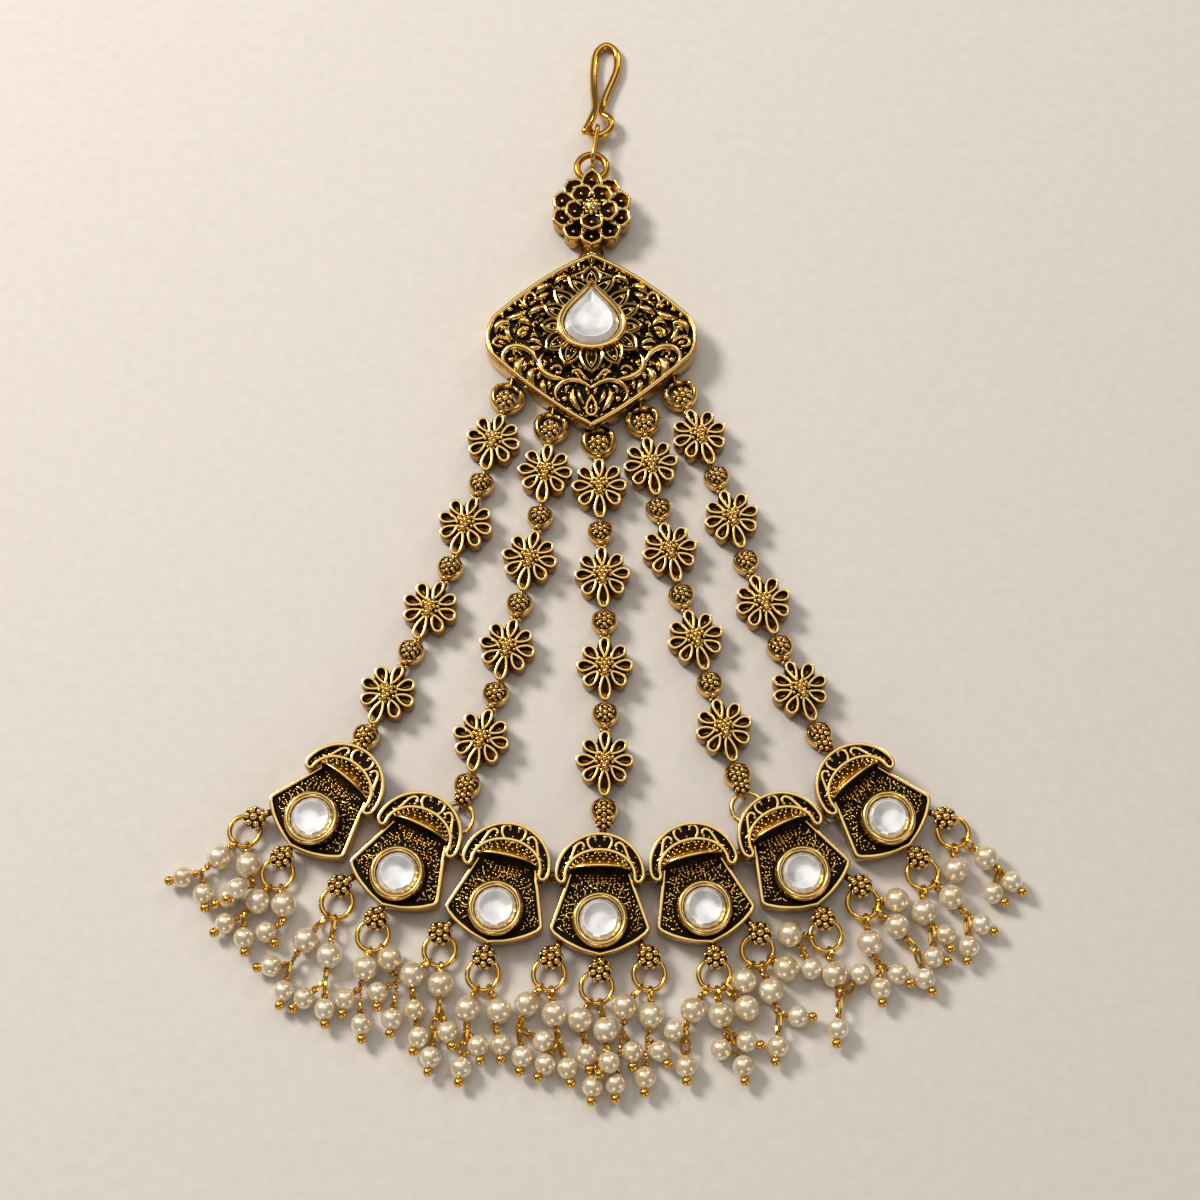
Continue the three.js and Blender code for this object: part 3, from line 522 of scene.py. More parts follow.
def make_piece(name, casting, material, replaces, crisp=CRISP):
    points = np.vstack(casting.points) * MM
    mesh = bpy.data.meshes.new(name)
    mesh.from_pydata(points.tolist(), [], casting.faces)
    relief = mesh.attributes.new("relief", "FLOAT", "POINT")
    relief.data.foreach_set("value", np.concatenate(casting.relief).astype(np.float32))
    mesh.polygons.foreach_set("use_smooth", [True] * len(mesh.polygons))
    mesh.set_sharp_from_angle(angle=crisp)
    mesh.materials.append(material)
    mesh.validate()
    piece = bpy.data.objects.new(name, mesh)
    bpy.context.scene.collection.objects.link(piece)
    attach(piece, "root")
    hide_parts(replaces)
    triangles_made[name] = sum(len(face) - 2 for face in casting.faces)
    return piece


# %% [markdown]
# ## The camera, the floor and the light
# The jewel lies on a pale plaster-like sheet, and the camera looks down on it from a little
# towards the fringe. A small soft window on the upper left throws the shadows. A broad weak sky
# overhead gives the crests something pale to mirror, and three weak lamps light the far edge, the
# right side and the front. Gold is a mirror, so what makes it look like gold is the shape of
# these lights and the darkness between them.

# %% Camera
CAMERA_TILT = math.radians(20)
CAMERA_DISTANCE = 250
LOOK_AT = (1.107, -35.609, 1.5)
LENS_MM = 60

camera = bpy.data.objects.new("camera", bpy.data.cameras.new("camera"))
camera.data.lens = LENS_MM
camera.data.sensor_width = 36
camera.data.clip_start = 0.005
camera.data.clip_end = 10
camera.location = Vector((
    LOOK_AT[0],
    LOOK_AT[1] - CAMERA_DISTANCE * math.sin(CAMERA_TILT),
    LOOK_AT[2] + CAMERA_DISTANCE * math.cos(CAMERA_TILT),
)) * MM
camera.rotation_euler = (CAMERA_TILT, 0, 0)
bpy.context.scene.collection.objects.link(camera)
bpy.context.scene.camera = camera
print("camera at", tuple(round(v, 4) for v in camera.location))

# %% Floor
FLOOR_HALF = 1.2
FLOOR_DROP_MM = 0.02
GRAIN_MM = 1.4


def plaster_floor():
    material, tree, output = new_material("pale_plaster")
    place = add_node(tree, "ShaderNodeTexCoord").outputs["Object"]
    grain = add_node(tree, "ShaderNodeTexNoise", Vector=place, Scale=1 / (GRAIN_MM * MM),
                     Detail=4.0).outputs["Fac"]
    colour = colour_ramp(tree, grain, [(0.3, "#dedbd8"), (0.7, "#e4e1de")])
    bump = add_node(tree, "ShaderNodeBump", Strength=0.12, Distance=0.15 * MM, Height=grain)
    shader = add_node(tree, "ShaderNodeBsdfPrincipled", Base_Color=colour, Roughness=0.85,
                      Normal=bump.outputs["Normal"])
    tree.links.new(shader.outputs["BSDF"], output.inputs["Surface"])
    return material


half = FLOOR_HALF
floor_mesh = bpy.data.meshes.new("floor")
floor_mesh.from_pydata(
    [(-half, -half, 0), (half, -half, 0), (half, half, 0), (-half, half, 0)], [], [(0, 1, 2, 3)])
floor_mesh.materials.append(plaster_floor())
floor = bpy.data.objects.new("floor", floor_mesh)
floor.location.z = -FLOOR_DROP_MM * MM
bpy.context.scene.collection.objects.link(floor)

# %% Lights
SCENE_MIDDLE = Vector((0.0, -0.03, 0.0))
LIGHTS = [
    {"name": "window", "at": (-0.40, 0.24, 0.42), "size": 0.2, "watts": 3.2, "colour": "#fff6ea"},
    {"name": "sky", "at": (-0.02, 0.26, 0.72), "size": 0.8, "watts": 1.6, "colour": "#fcf8f2"},
    {"name": "edge", "at": (0.34, 0.42, 0.36), "size": 0.12, "watts": 0.45, "colour": "#fff2e0"},
    {"name": "return", "at": (0.50, -0.40, 0.25), "size": 0.30, "watts": 0.4, "colour": "#ffeedb"},
    {"name": "front", "at": (-0.15, -0.62, 0.22), "size": 0.25, "watts": 0.35, "colour": "#ffecd2"},
]


def area_light(row):
    light = bpy.data.lights.new(row["name"], "AREA")
    light.shape = "DISK"
    light.size = row["size"]
    light.energy = row["watts"]
    light.color = linear(row["colour"])[:3]
    lamp = bpy.data.objects.new(row["name"], light)
    lamp.location = row["at"]
    lamp.rotation_euler = (SCENE_MIDDLE - lamp.location).to_track_quat("-Z", "Y").to_euler()
    bpy.context.scene.collection.objects.link(lamp)
    return lamp


for row in LIGHTS:
    area_light(row)
world = bpy.data.worlds.new("studio")
world.use_nodes = True
world.node_tree.nodes["Background"].inputs["Color"].default_value = linear("#ccc6bf")
world.node_tree.nodes["Background"].inputs["Strength"].default_value = 0.28
bpy.context.scene.world = world
bpy.context.scene.view_settings.view_transform = "Standard"
print("lights:", [row["name"] for row in LIGHTS])

# %% [markdown]
# ## Flowers and the heads between them
# A strand is a row of small castings, each one a head, a flower with eight petals and an eye. The
# head is a cup with a cluster of soldered grains over it, and the eye of the casting above passes
# through a hole in the cup's wall. A petal is a teardrop of wire on a tall, hollow-looking wall,
# with a small ridge inside. The founder cuts all that in one wax, so here it is one mesh.

# %% Round bodies, grain clusters and eyes
EYE_WIRE = 0.2
EYE_HEIGHT = 2.0
EYE_CLEAR = 0.42


def lathe(casting, profile, steps=36, x=0.0, y=0.0, closed=False):
    """A body turned about a vertical axis: the profile's rows are radius, height and relief."""
    rows = np.array(profile, float)
    ring = circle(1.0, steps)
    points = [np.column_stack((x + ring[:, 0] * r, y + ring[:, 1] * r, np.full(steps, z)))
              for r, z, _ in rows]
    faces = between_rings(len(rows), steps, closed)
    if not closed:
        faces += end_caps(len(rows), steps)
    casting.add(np.vstack(points), faces, np.repeat(rows[:, 2], steps))


def grain_ring(casting, count, reach, z, radius, x=0.0, y=0.0, first=0.0):
    for i in range(count):
        a = math.radians(first + 360 * i / count)
        ball(casting, x + reach * math.cos(a), y + reach * math.sin(a), z, radius)


def granulated_cap(casting, x=0.0, y=0.0, radius=1.25, lift=0.0):
    """A dark dome with a grain on top, six round it and a ring of others at its foot. A cap over
    another piece's eye is lifted clear of it."""
    size = radius / 1.25
    dome = [(0.4, 1.7 + lift, 0), (radius * 0.86, 1.8 + lift, 0), (radius * 0.95, 2.1 + lift, 0.1),
            (radius * 0.65, 2.6 + 0.5 * lift, 0.1), (0.2, 2.75 + 0.5 * lift, 0.1)]
    lathe(casting, dome, 24, x, y)
    ball(casting, x, y, 2.7 + 0.5 * lift, 0.41 * size, 12, 8)
    grain_ring(casting, 6, 0.76 * size, 2.46 + 0.6 * lift, 0.36 * size, x, y, 30)
    grain_ring(casting, 9, 1.05 * size, 1.95 + lift, 0.3 * size, x, y, 10)


def upright_loop(casting, near, far, radius=EYE_WIRE, height=EYE_HEIGHT):
    """A wire eye that stands on edge, from y = -near to y = -far."""
    rise = height / 2 - radius
    angle = np.linspace(0, 2 * math.pi, 28, endpoint=False)
    reach = (far - near) / 2 - rise - radius
    y = -(near + far) / 2 + rise * np.cos(angle) + np.sign(np.cos(angle)) * max(reach, 0)
    z = height / 2 + rise * np.sin(angle)
    wire(casting, np.column_stack((np.zeros_like(y), y, z)), radius, closed=True, relief=0.62)


# %% Heads and flowers
PETALS = 8
PETAL_WIRE = 0.19
CUP = {"low": 0.15, "high": 2.3, "hole_low": 0.65, "hole_high": 1.38}
HOLE_HALF_ANGLE = 28
HOLE_BLEND = 34


def cup_ring(casting, outer, inner, steps=40):
    """A cup's round wall. It thins to a plain ring on its far side, where an eye passes through."""
    angle = np.linspace(0, 2 * math.pi, steps, endpoint=False)
    away = np.degrees(np.abs((angle - math.pi / 2 + math.pi) % (2 * math.pi) - math.pi))
    full = np.clip((away - HOLE_HALF_ANGLE) / HOLE_BLEND, 0, 1)
    full = full * full * (3 - 2 * full)
    low = CUP["hole_low"] + (CUP["low"] - CUP["hole_low"]) * full
    high = CUP["hole_high"] + (CUP["high"] - CUP["hole_high"]) * full
    wall = outer - inner
    rows = [(outer - 0.5 * wall, 0.0, 0.1), (outer - 0.2 * wall, 0.06, 0.35), (outer, 0.3, 0.62),
            (outer, 0.6, 0.75), (outer - 0.1 * wall, 0.82, 0.9), (outer - 0.3 * wall, 0.96, 1.0),
            (outer - 0.52 * wall, 1.0, 1.0), (outer - 0.76 * wall, 0.94, 0.8), (inner, 0.72, 0.3),
            (inner, 0.3, 0.0)]
    points = [np.column_stack((r * np.cos(angle), r * np.sin(angle), low + (high - low) * share))
              for r, share, _ in rows]
    casting.add(np.vstack(points), between_rings(len(rows), steps, True),
                np.repeat([row[2] for row in rows], steps))


def head(casting, first, tall=False):
    """A cup with its grains. A strand's first head is wider and half open, and its last has a
    second cluster of grains below. The pillar in the cup stops short of the lifted cap, whose
    lowest grains rest on the cup's rim."""
    if first:
        cup_ring(casting, FIRST_HEAD_RADIUS + 0.05, 1.35)
        granulated_cap(casting, 0, -0.8, 1.25, EYE_CLEAR)
        lathe(casting, [(1.0, 0.3, 0), (1.15, 1.75, 0.1)], 20, 0, -1.0)
        return
    cup_ring(casting, HEAD_RADIUS + 0.08, 1.0)
    granulated_cap(casting, 0, -0.12, 1.05, EYE_CLEAR)
    lathe(casting, [(0.6, 0.3, 0), (0.65, 1.75, 0)], 12, 0, -0.85)
    if tall:
        granulated_cap(casting, 0, -1.55, 1.1)
        lathe(casting, [(0.7, 1.5, 0), (0.9, 1.6, 0.1), (0.8, 1.85, 0.1)], 20, 0, -1.55)


def teardrop(near, far, half_width, steps=26):
    """A closed loop along +Y, pointed at its near end and round at its far end."""
    u = np.linspace(0, 2 * math.pi, steps, endpoint=False)
    x = half_width / 0.77 * np.sin(u) * np.sin(u / 2)
    y = (near + far) / 2 - (far - near) / 2 * np.cos(u)
    return np.column_stack((x, y))


def turned(points, degrees):
    a = math.radians(degrees)
    p = np.asarray(points, float)
    return np.column_stack((
        p[:, 0] * math.cos(a) - p[:, 1] * math.sin(a),
        p[:, 0] * math.sin(a) + p[:, 1] * math.cos(a),
    ))


def flower(casting, dy):
    """Eight petals round a granulated heart, dy under the head. The long one laps over the eye."""
    def down(points):
        return points + (0, -dy)

    def level(x, y):
        return 2.43 + 0.05 * (3 - np.hypot(x, y + dy))

    wall = down(lobed(PETALS, 2.5, 0.97, 12))
    rim = [(1, 0.3, 0.02, 0.1), (1, 0.06, 0.2, 0.3), (1, 0, 0.5, 0.48), (1, 0, 1.9, 0.55),
           (1, 0.04, 2.15, 0.42), (1, 0.16, 2.25, 0.2), (1, 0.34, 2.1, 0.08),
           (0.62, 0.3, 1.95, 0.2), (0.35, 0, 2.25, 0.1), (0.05, 0, 2.6, 0.0)]
    shell(casting, wall, rim, (0, -dy))
    for i in range(PETALS):
        turn = 180 + 360 * i / PETALS
        far, width = {0: (4.3, 0.62), 4: (3.6, 0.52)}.get(i, (3.36, 0.65))
        stroke(casting, down(turned(teardrop(1.1, far, width), turn)),
               PETAL_WIRE, PETAL_WIRE * 1.2, level, closed=True)
        ridge = [(0, 1.5), (0, 2.1), (0, 2.8)]
        stroke(casting, down(turned(smooth_path(ridge, 4), turn)), 0.13, 0.2, 1.98, "leaf")
    lathe(casting, [(1.2, 2.1, 0), (1.15, 2.6, 0.05), (0.8, 3.0, 0.1), (0.2, 3.2, 0.1)], 20, 0, -dy)
    ball(casting, 0, 0.1 - dy, 3.26, 0.36)
    grain_ring(casting, 6, 0.56, 3.1, 0.3, 0, 0.1 - dy, 0)
    grain_ring(casting, 10, 1.0, 2.76, 0.26, 0, 0.05 - dy, 18)
    ball(casting, 0, -0.9 - dy, 3.0, 0.42, darkest_oxide_and_shade=0.5)
    for side in (-0.36, 0.36):
        ball(casting, side, -1.25 - dy, 2.7, 0.22, 9, 6, 0.4)


def flower_casting(first):
    casting = Casting()
    reach = FIRST_HEAD_TO_FLOWER if first else HEAD_TO_FLOWER
    outer = FIRST_HEAD_RADIUS if first else HEAD_RADIUS
    head(casting, first)
    wire(casting, [(0, -outer + 0.2, 1.2), (0, -reach + 3.0, 1.2)], 0.58, relief=0.3)
    ball(casting, 0, -outer - 0.12, 2.0, 0.34, darkest_oxide_and_shade=0.5)
    for side in (-0.42, 0.42):
        ball(casting, side, -outer - 0.5, 1.6, 0.3, darkest_oxide_and_shade=0.4)
    flower(casting, reach)
    casting.set_down(0, -reach, 0)
    upright_loop(casting, 2.6, 5.65)
    return casting


def moved(casting, x, y, turn):
    """The same casting struck again somewhere else."""
    copy = Casting()
    copy.set_down(x, y, turn)
    copy.add(np.vstack(casting.points), casting.faces, np.concatenate(casting.relief))
    return copy


FIRST_FLOWER = flower_casting(True)
NEXT_FLOWER = flower_casting(False)
for s, strand in enumerate(STRANDS):
    for i, (x, y, lean) in enumerate(strand_heads(strand)[:4]):
        name = f"strand_{s + 1}_flower_{i + 1}"
        made = moved(FIRST_FLOWER if i == 0 else NEXT_FLOWER, x, y, lean)
        make_piece(name + "_casting", made, ANTIQUE_GOLD, name)
for s in (1, 3):
    name = f"strand_{s + 1}_end_link"
    link = Casting()
    head(link, False, True)
    upright_loop(link, 1.2, 3.3)
    make_piece(name + "_casting", moved(link, *strand_heads(STRANDS[s])[4]), ANTIQUE_GOLD,
               name)
print("flowers made, triangles in one:", triangles_made["strand_1_flower_2_casting"])

# %% [markdown]
# ## Plaques
# Each plaque is a kite-topped plate with a raised wire round its edge, a black ground full of
# fine strokes and grains, a round setting, and a crescent arching over its top. Between the
# crescent and the plate a little awning swells out to a bright lip, with a dark hollow under it.
# The crescent stands proud of the plate and overhangs the hinges.

# %% Plate, ground and setting
GROUND = 2.45
GROUND_SEED = 40
GROUND_TRIES = 3200


def dense(points, step):
    """A closed outline with extra points, so that its walls bend evenly."""
    out = []
    for a, b in zip(points, points[1:] + points[:1]):
        a, b = np.array(a, float), np.array(b, float)
        count = max(1, round(np.linalg.norm(b - a) / step))
        out.extend(a + (b - a) * i / count for i in range(count))
    return np.array(out)


def plate(casting):
    left = [(-3.3, 6.5), (-4.6, 2.85), (-5.82, -0.6)]
    corner = smooth_path([(-5.82, -0.6), (-5.86, -1.05), (-5.5, -1.6)], 3).tolist()[:-1]
    belly = smooth_path([(-5.5, -1.6), (-4.2, -2.55), (-2.2, -3.5), (-0.6, -3.95), (0, -4.12)], 4)
    half = left[:-1] + corner + belly.tolist()
    outline = dense([tuple(p) for p in half] + [(-x, y) for x, y in reversed(half[:-1])], 0.5)
    shell(casting, outline, [
        (0.02, 0, 0.02, 0.1), (1, 0.3, 0.02, 0.1), (1, 0.06, 0.2, 0.4), (1, 0, 0.5, 0.62),
        (1, 0, 2.2, 0.7), (1, 0.06, 2.6, 0.75), (1, 0.3, 2.7, 0.2), (1, 0.5, GROUND, 0.0),
        (0.55, 0.5, GROUND, 0.0), (0.02, 0, GROUND, 0.0)], (0, 0.6))
    edge = inset(outline, 0.2)
    rim = [p for p in edge if p[1] < 5.8]
    stroke(casting, rim, 0.25, 0.28, 2.72, "wire")


def setting(casting):
    """A turned collet with a rounded bright edge and a slope down to the stone."""
    lathe(casting, [(3.42, 2.4, 0.1), (3.34, 2.7, 0.35), (3.3, 3.5, 0.62), (3.28, 3.9, 0.85),
                    (3.18, 4.2, 0.95), (3.02, 4.37, 1.0), (2.86, 4.4, 1.0), (2.7, 4.3, 0.9),
                    (2.56, 4.05, 0.7), (2.5, 3.6, 0.3), (2.48, 2.4, 0.0)], 64, closed=True)


def on_ground(x, y):
    """Whether a spot of the plate is free: inside its rim and outside the setting."""
    edge = 5.3 - (y + 0.6) * 0.4 if y > -0.6 else 5.3 - (-0.6 - y) * 1.6
    return abs(x) < edge and math.hypot(x, y) > 3.62 and y > -3.4


def ground_work(casting, seed):
    """Small curling strokes and grains, packed close but never touching, all over the ground."""
    chance = random.Random(seed)
    placed = []
    for _ in range(GROUND_TRIES):
        x, y = chance.uniform(-5.4, 5.4), chance.uniform(-3.4, 4.6)
        long = chance.random() < 0.5
        room = 0.36 if long else 0.22
        if not on_ground(x, y) or any(math.hypot(x - a, y - b) < room + c for a, b, c in placed):
            continue
        placed.append((x, y, 0.13 if long else 0.07))
        if not long:
            ball(casting, x, y, GROUND + 0.07, chance.uniform(0.12, 0.18), 8, 5, 0.5)
            continue
        lean = math.atan2(y + 0.4, x) + chance.uniform(-0.8, 0.8)
        reach, bend = chance.uniform(0.26, 0.46), chance.uniform(-0.2, 0.2)
        ahead = np.array((math.cos(lean), math.sin(lean)))
        across = np.array((-ahead[1], ahead[0]))
        path = [np.array((x, y)) + ahead * reach * t + across * bend * (1 - t * t)
                for t in (-1, -0.4, 0.4, 1)]
        stroke(casting, path, 0.1, 0.2, GROUND + 0.08, "wire", 6)


# %% Crescent and awning
CRESCENT_GROUND = 3.45
AWNING_SEED = 60
# One row a stroke of the right half: how it is laid down, half its width, and its path.
CRESCENT_ROWS = [
    ("wire", 0.21, (0.0, 8.05), (0.75, 8.2), (1.32, 8.8), (1.4, 9.5), (1.05, 9.95), (0.62, 9.85),
     (0.5, 9.5)),
    ("wire", 0.21, (1.98, 8.35), (1.9, 8.85), (2.25, 9.15), (2.75, 8.85), (3.1, 8.1), (3.4, 7.3),
     (3.7, 6.9)),
    ("leaf", 0.2, (3.4, 7.2), (3.85, 6.7), (4.3, 6.75)),
    ("leaf", 0.14, (3.4, 7.3), (3.25, 6.9), (3.45, 6.5)),
    ("leaf", 0.1, (4.42, 4.95), (4.35, 5.4), (4.5, 5.95), (4.68, 5.5)),
]
CRESCENT_SCROLLS = [{"kind": kind, "width": width, "path": path}
                    for kind, width, *path in CRESCENT_ROWS]
CRESCENT_DOTS = [(0, 8.75, 0.2), (2.0, 8.4, 0.24), (2.62, 8.1, 0.15), (3.2, 8.7, 0.12),
                 (4.3, 6.2, 0.13), (0.52, 9.55, 0.2), (1.85, 9.6, 0.12), (4.75, 5.2, 0.1),
                 (4.2, 7.4, 0.12)]


def crescent_stations():
    """Pairs of points, outer and inner, from the right tip over the top to the left tip."""
    pairs = []
    for a in np.radians(np.linspace(0, 180, 37)):
        outer = (5.35 * math.cos(a), 5.15 + 5.25 * math.sin(a))
        inner = (3.92 * math.cos(a), 5.15 + 2.95 * math.sin(a))
        pairs.append((np.array(outer), np.array(inner)))
    tips = []
    for outer, inner in (pairs[0], pairs[-1]):
        middle, half = (outer + inner) / 2, (outer - inner) / 2
        lean = np.array([-0.12 * np.sign(middle[0]), -0.95])
        tips.append([(middle + lean * u + half * math.sqrt(1 - u * u), middle + lean * u
                      - half * math.sqrt(1 - u * u)) for u in (0.35, 0.65, 0.86, 0.97)])
    return tips[0][::-1] + pairs + tips[1]


def crescent(casting):
    stations = crescent_stations()
    section = [(0.06, 1.6, 0.1), (0, 1.8, 0.5), (0, 3.4, 0.7), (0.05, 3.6, 0.5),
               (0.1, CRESCENT_GROUND, 0), (0.9, CRESCENT_GROUND, 0), (0.95, 3.6, 0.5),
               (1, 3.4, 0.7), (1, 1.8, 0.5), (0.94, 1.6, 0.1)]
    points = [(*(outer + (inner - outer) * t), z)
              for outer, inner in stations for t, z, _ in section]
    sides = len(section)
    faces = between_rings(len(stations), sides) + end_caps(len(stations), sides)
    casting.add(points, [tuple(reversed(face)) for face in faces],
                [row[2] for _ in stations for row in section])
    outline = np.array([o for o, _ in stations] + [i for _, i in reversed(stations)])
    stroke(casting, inset(outline, 0.2), 0.24, 0.28, 3.66, closed=True)
    for side in (-1, 1):
        for row in CRESCENT_SCROLLS:
            path = [(side * x, y) for x, y in row["path"]]
            stroke(casting, smooth_path(path, 5), row["width"], 0.24, CRESCENT_GROUND + 0.12,
                   row["kind"])
        for x, y, radius in CRESCENT_DOTS:
            ball(casting, side * x, y, CRESCENT_GROUND + 0.06, radius, 8, 5, 0.45)


def awning_point(turn, u):
    """A point of the awning: u runs from the crescent's inner edge (0) to the lip (1)."""
    a = math.radians(turn)
    arc = np.array([3.75 * math.cos(a), 5.5 + 2.6 * math.sin(a)])
    lip = np.array([3.7 * math.cos(a), 5.75 + 0.45 * math.sin(a)])
    flat = arc + (lip - arc) * u
    z = 3.3 + 1.62 * math.sin(a) ** 0.8 * math.sin(u * math.pi / 2) ** 0.75
    return (*flat, z)


def awning(casting, seed):
    turns = np.linspace(2, 178, 33)
    rows = [(0, 0.0), (0.2, 0.16), (0.45, 0.26), (0.7, 0.34), (0.9, 0.45), (1, 0.5)]
    points = [awning_point(t, u) for u, _ in rows for t in turns]
    under = [(x, y + 0.12, 2.95) for x, y, _ in (awning_point(t, 1) for t in turns)]
    hollow = [(3.5 * math.cos(a), 5.7 - 1.35 * math.sin(a), GROUND + 0.05)
              for a in map(math.radians, turns)]
    count = len(turns)
    faces = []
    for i in range(len(rows) + 1):
        for j in range(count - 1):
            a, b = i * count + j, (i + 1) * count + j
            faces.append((a, a + 1, b + 1, b))
    relief = np.repeat([shine for _, shine in rows] + [0.1, 0.12], count)
    casting.add(points + under + hollow, faces, relief)
    lip = np.array([awning_point(t, 1) for t in np.linspace(178, 2, 30)])
    stroke(casting, lip[:, :2], 0.17, 0.2,
           lambda x, y: np.interp(x, lip[:, 0], lip[:, 2]) - 0.04, "leaf")
    chance = random.Random(seed)
    for u, count in ((0.1, 15), (0.34, 13), (0.58, 12), (0.8, 9)):
        for i in range(count):
            t = 14 + 152 * (i + 0.5) / count + chance.uniform(-2, 2)
            ball(casting, *awning_point(t, u), chance.uniform(0.14, 0.2), 8, 5, 0.55)
    for drop, count, reach in ((0.3, 12, 2.7), (0.62, 10, 2.3), (0.94, 8, 1.7), (1.25, 4, 0.8)):
        for i in range(count):
            x = -reach + 2 * reach * i / (count - 1) + chance.uniform(-0.1, 0.1)
            ball(casting, x, 5.75 - drop, GROUND + 0.14, chance.uniform(0.14, 0.2), 8, 5, 0.4)


# %% Fringe eyes, hinges and what a plaque carries on top
SIDE_RING = {"outer": 2.2, "from_head": 4.1}
JUMP = {"outer": 2.16, "wire": 0.31, "z": 1.0}
FRINGE_SIDE = (5.75, -4.15)
FRINGE_MIDDLE = (0, -5.7)
# One row a jump ring: its plaque, its place there from left (-1) to right (1), and its swing.
JUMPS = [{"plaque": plaque, "place": place, "swing": swing} for plaque, place, swing in (
    (0, -1, -42), (0, 0, -16), (1, -1, -10), (1, 0, -12), (2, -1, -2), (2, 0, -5), (3, -1, -7),
    (3, 0, -12), (3, 1, 2), (4, 0, -5), (4, 1, -8), (5, 0, 7), (5, 1, 10), (6, 0, 18), (6, 1, 33),
)]


def fringe_point(jump):
    x, y = FRINGE_MIDDLE if jump["place"] == 0 else (jump["place"] * FRINGE_SIDE[0], FRINGE_SIDE[1])
    return on_plaque(jump["plaque"], x, y)


def fringe_eye(casting, jump):
    x, y = fringe_point(jump)
    root = (0, -3.9) if jump["place"] == 0 else (jump["place"] * 4.6, -2.2)
    edge = on_plaque(jump["plaque"], *root)
    casting.set_down(0, 0, 0)
    neck = [(*edge, 2.0), ((edge[0] + x) / 2, (edge[1] + y) / 2, 2.05), (x, y, 2.1)]
    wire(casting, neck, 0.42, relief=0.3)
    for share, size in ((0.3, 0.3), (0.5, 0.36)):
        ball(casting, edge[0] * (1 - share) + x * share, edge[1] * (1 - share) + y * share,
             2.35, size, darkest_oxide_and_shade=0.5)
    casting.set_down(x, y, jump["swing"])
    granulated_cap(casting, 0, 0.05, 1.42)
    upright_loop(casting, -1.02, 1.02)


def hinge_half(casting, index, staple):
    """The hinge at the seam after plaque `index`: an upright eye one side, a staple the other."""
    turn = plaque_turn(index) + ARC["pitch"] / 2
    x, y = swung(ARC["x"], ARC["y"], turn, ARC["hinges"])
    casting.set_down(x, y, turn + 90)
    if staple:
        path = [(-0.62, -2.4, 0.7), (-0.62, -0.2, 0.7), (-0.45, 0.25, 0.7), (0, 0.33, 0.7),
                (0.45, 0.25, 0.7), (0.62, -0.2, 0.7), (0.62, -2.4, 0.7)]
        wire(casting, smooth_path(path, 4), 0.15, relief=0.6)
    else:
        upright_loop(casting, -2.6, 0.5, 0.17, 1.4)


def plaque_head(casting, index, strand):
    """The cup that ends a strand, soldered to the top of the crescent."""
    x, y, lean = strand_heads(strand)[4]
    own_x, _ = from_plaque(index, x, y)
    foot = on_plaque(index, own_x * 0.6, 10.0)
    seat = swung(x, y, lean, 1.1)
    casting.set_down(0, 0, 0)
    wire(casting, [(*seat, 1.9), (*foot, 1.9)], 0.45, relief=0.3)
    ball(casting, *swung(x, y, lean, 1.75), 2.2, 0.34, darkest_oxide_and_shade=0.5)
    casting.set_down(x, y, lean)
    head(casting, False, True)


def side_ring(casting, index, strand):
    """The plain ring beside a crescent, which the end link of a strand hangs in."""
    end = strand_heads(strand)[4]
    x, y = swung(*end, SIDE_RING["from_head"])
    own_x, own_y = from_plaque(index, x, y)
    foot = on_plaque(index, own_x * 0.75, own_y - 1.9)
    casting.set_down(0, 0, 0)
    ring = circle(SIDE_RING["outer"] - 0.33, 40, x, y)
    wire(casting, np.column_stack((ring, np.full(40, 1.0))), 0.32, 10, True, 0.9)
    wire(casting, [(*foot, 1.0), (*foot, 1.9)], 0.34, relief=0.4)


# What a plaque carries on top, and the strand that ends there.
PLAQUE_TOPS = {0: (plaque_head, 0), 1: (side_ring, 1), 3: (plaque_head, 2), 5: (side_ring, 3),
               6: (plaque_head, 4)}


def plaque_casting(index):
    casting = Casting()
    casting.set_down(*plaque_centre(index), plaque_turn(index))
    plate(casting)
    setting(casting)
    ground_work(casting, GROUND_SEED + index)
    crescent(casting)
    awning(casting, AWNING_SEED + index)
    for jump in JUMPS:
        if jump["plaque"] == index:
            fringe_eye(casting, jump)
    if index < PLAQUES - 1:
        hinge_half(casting, index, False)
    if index > 0:
        hinge_half(casting, index - 1, True)
    if index in PLAQUE_TOPS:
        make, strand = PLAQUE_TOPS[index]
        make(casting, index, STRANDS[strand])
    return casting


for index in range(PLAQUES):
    name = f"plaque_{index + 1}"
    make_piece(name + "_casting", plaque_casting(index), ANTIQUE_GOLD, name)
print("plaques made, triangles in plaque 4:", triangles_made["plaque_4_casting"])

# %% [markdown]
# ## The stones
# Seven round stones and one pear sit low in their settings. A ring of narrow flat facets leans up
# from the setting. Inside it the top is a smooth shallow bowl, which stands for the back facets
# that show through the glass and gathers the light in one soft patch.

# %% Round stones
STONE = {"radius": 2.5, "girdle": 3.85, "crown": 4.3, "bowl": 0.32}
STONE_FACETS = 16
FACET_CRISP = math.radians(9)
# How far out each ring of the bowl lies, and how deep, both as shares.
BOWL = [(0.78, 0.0), (0.74, 0.08), (0.62, 0.4), (0.46, 0.7), (0.3, 0.9), (0.14, 0.98), (0.02, 1.0)]


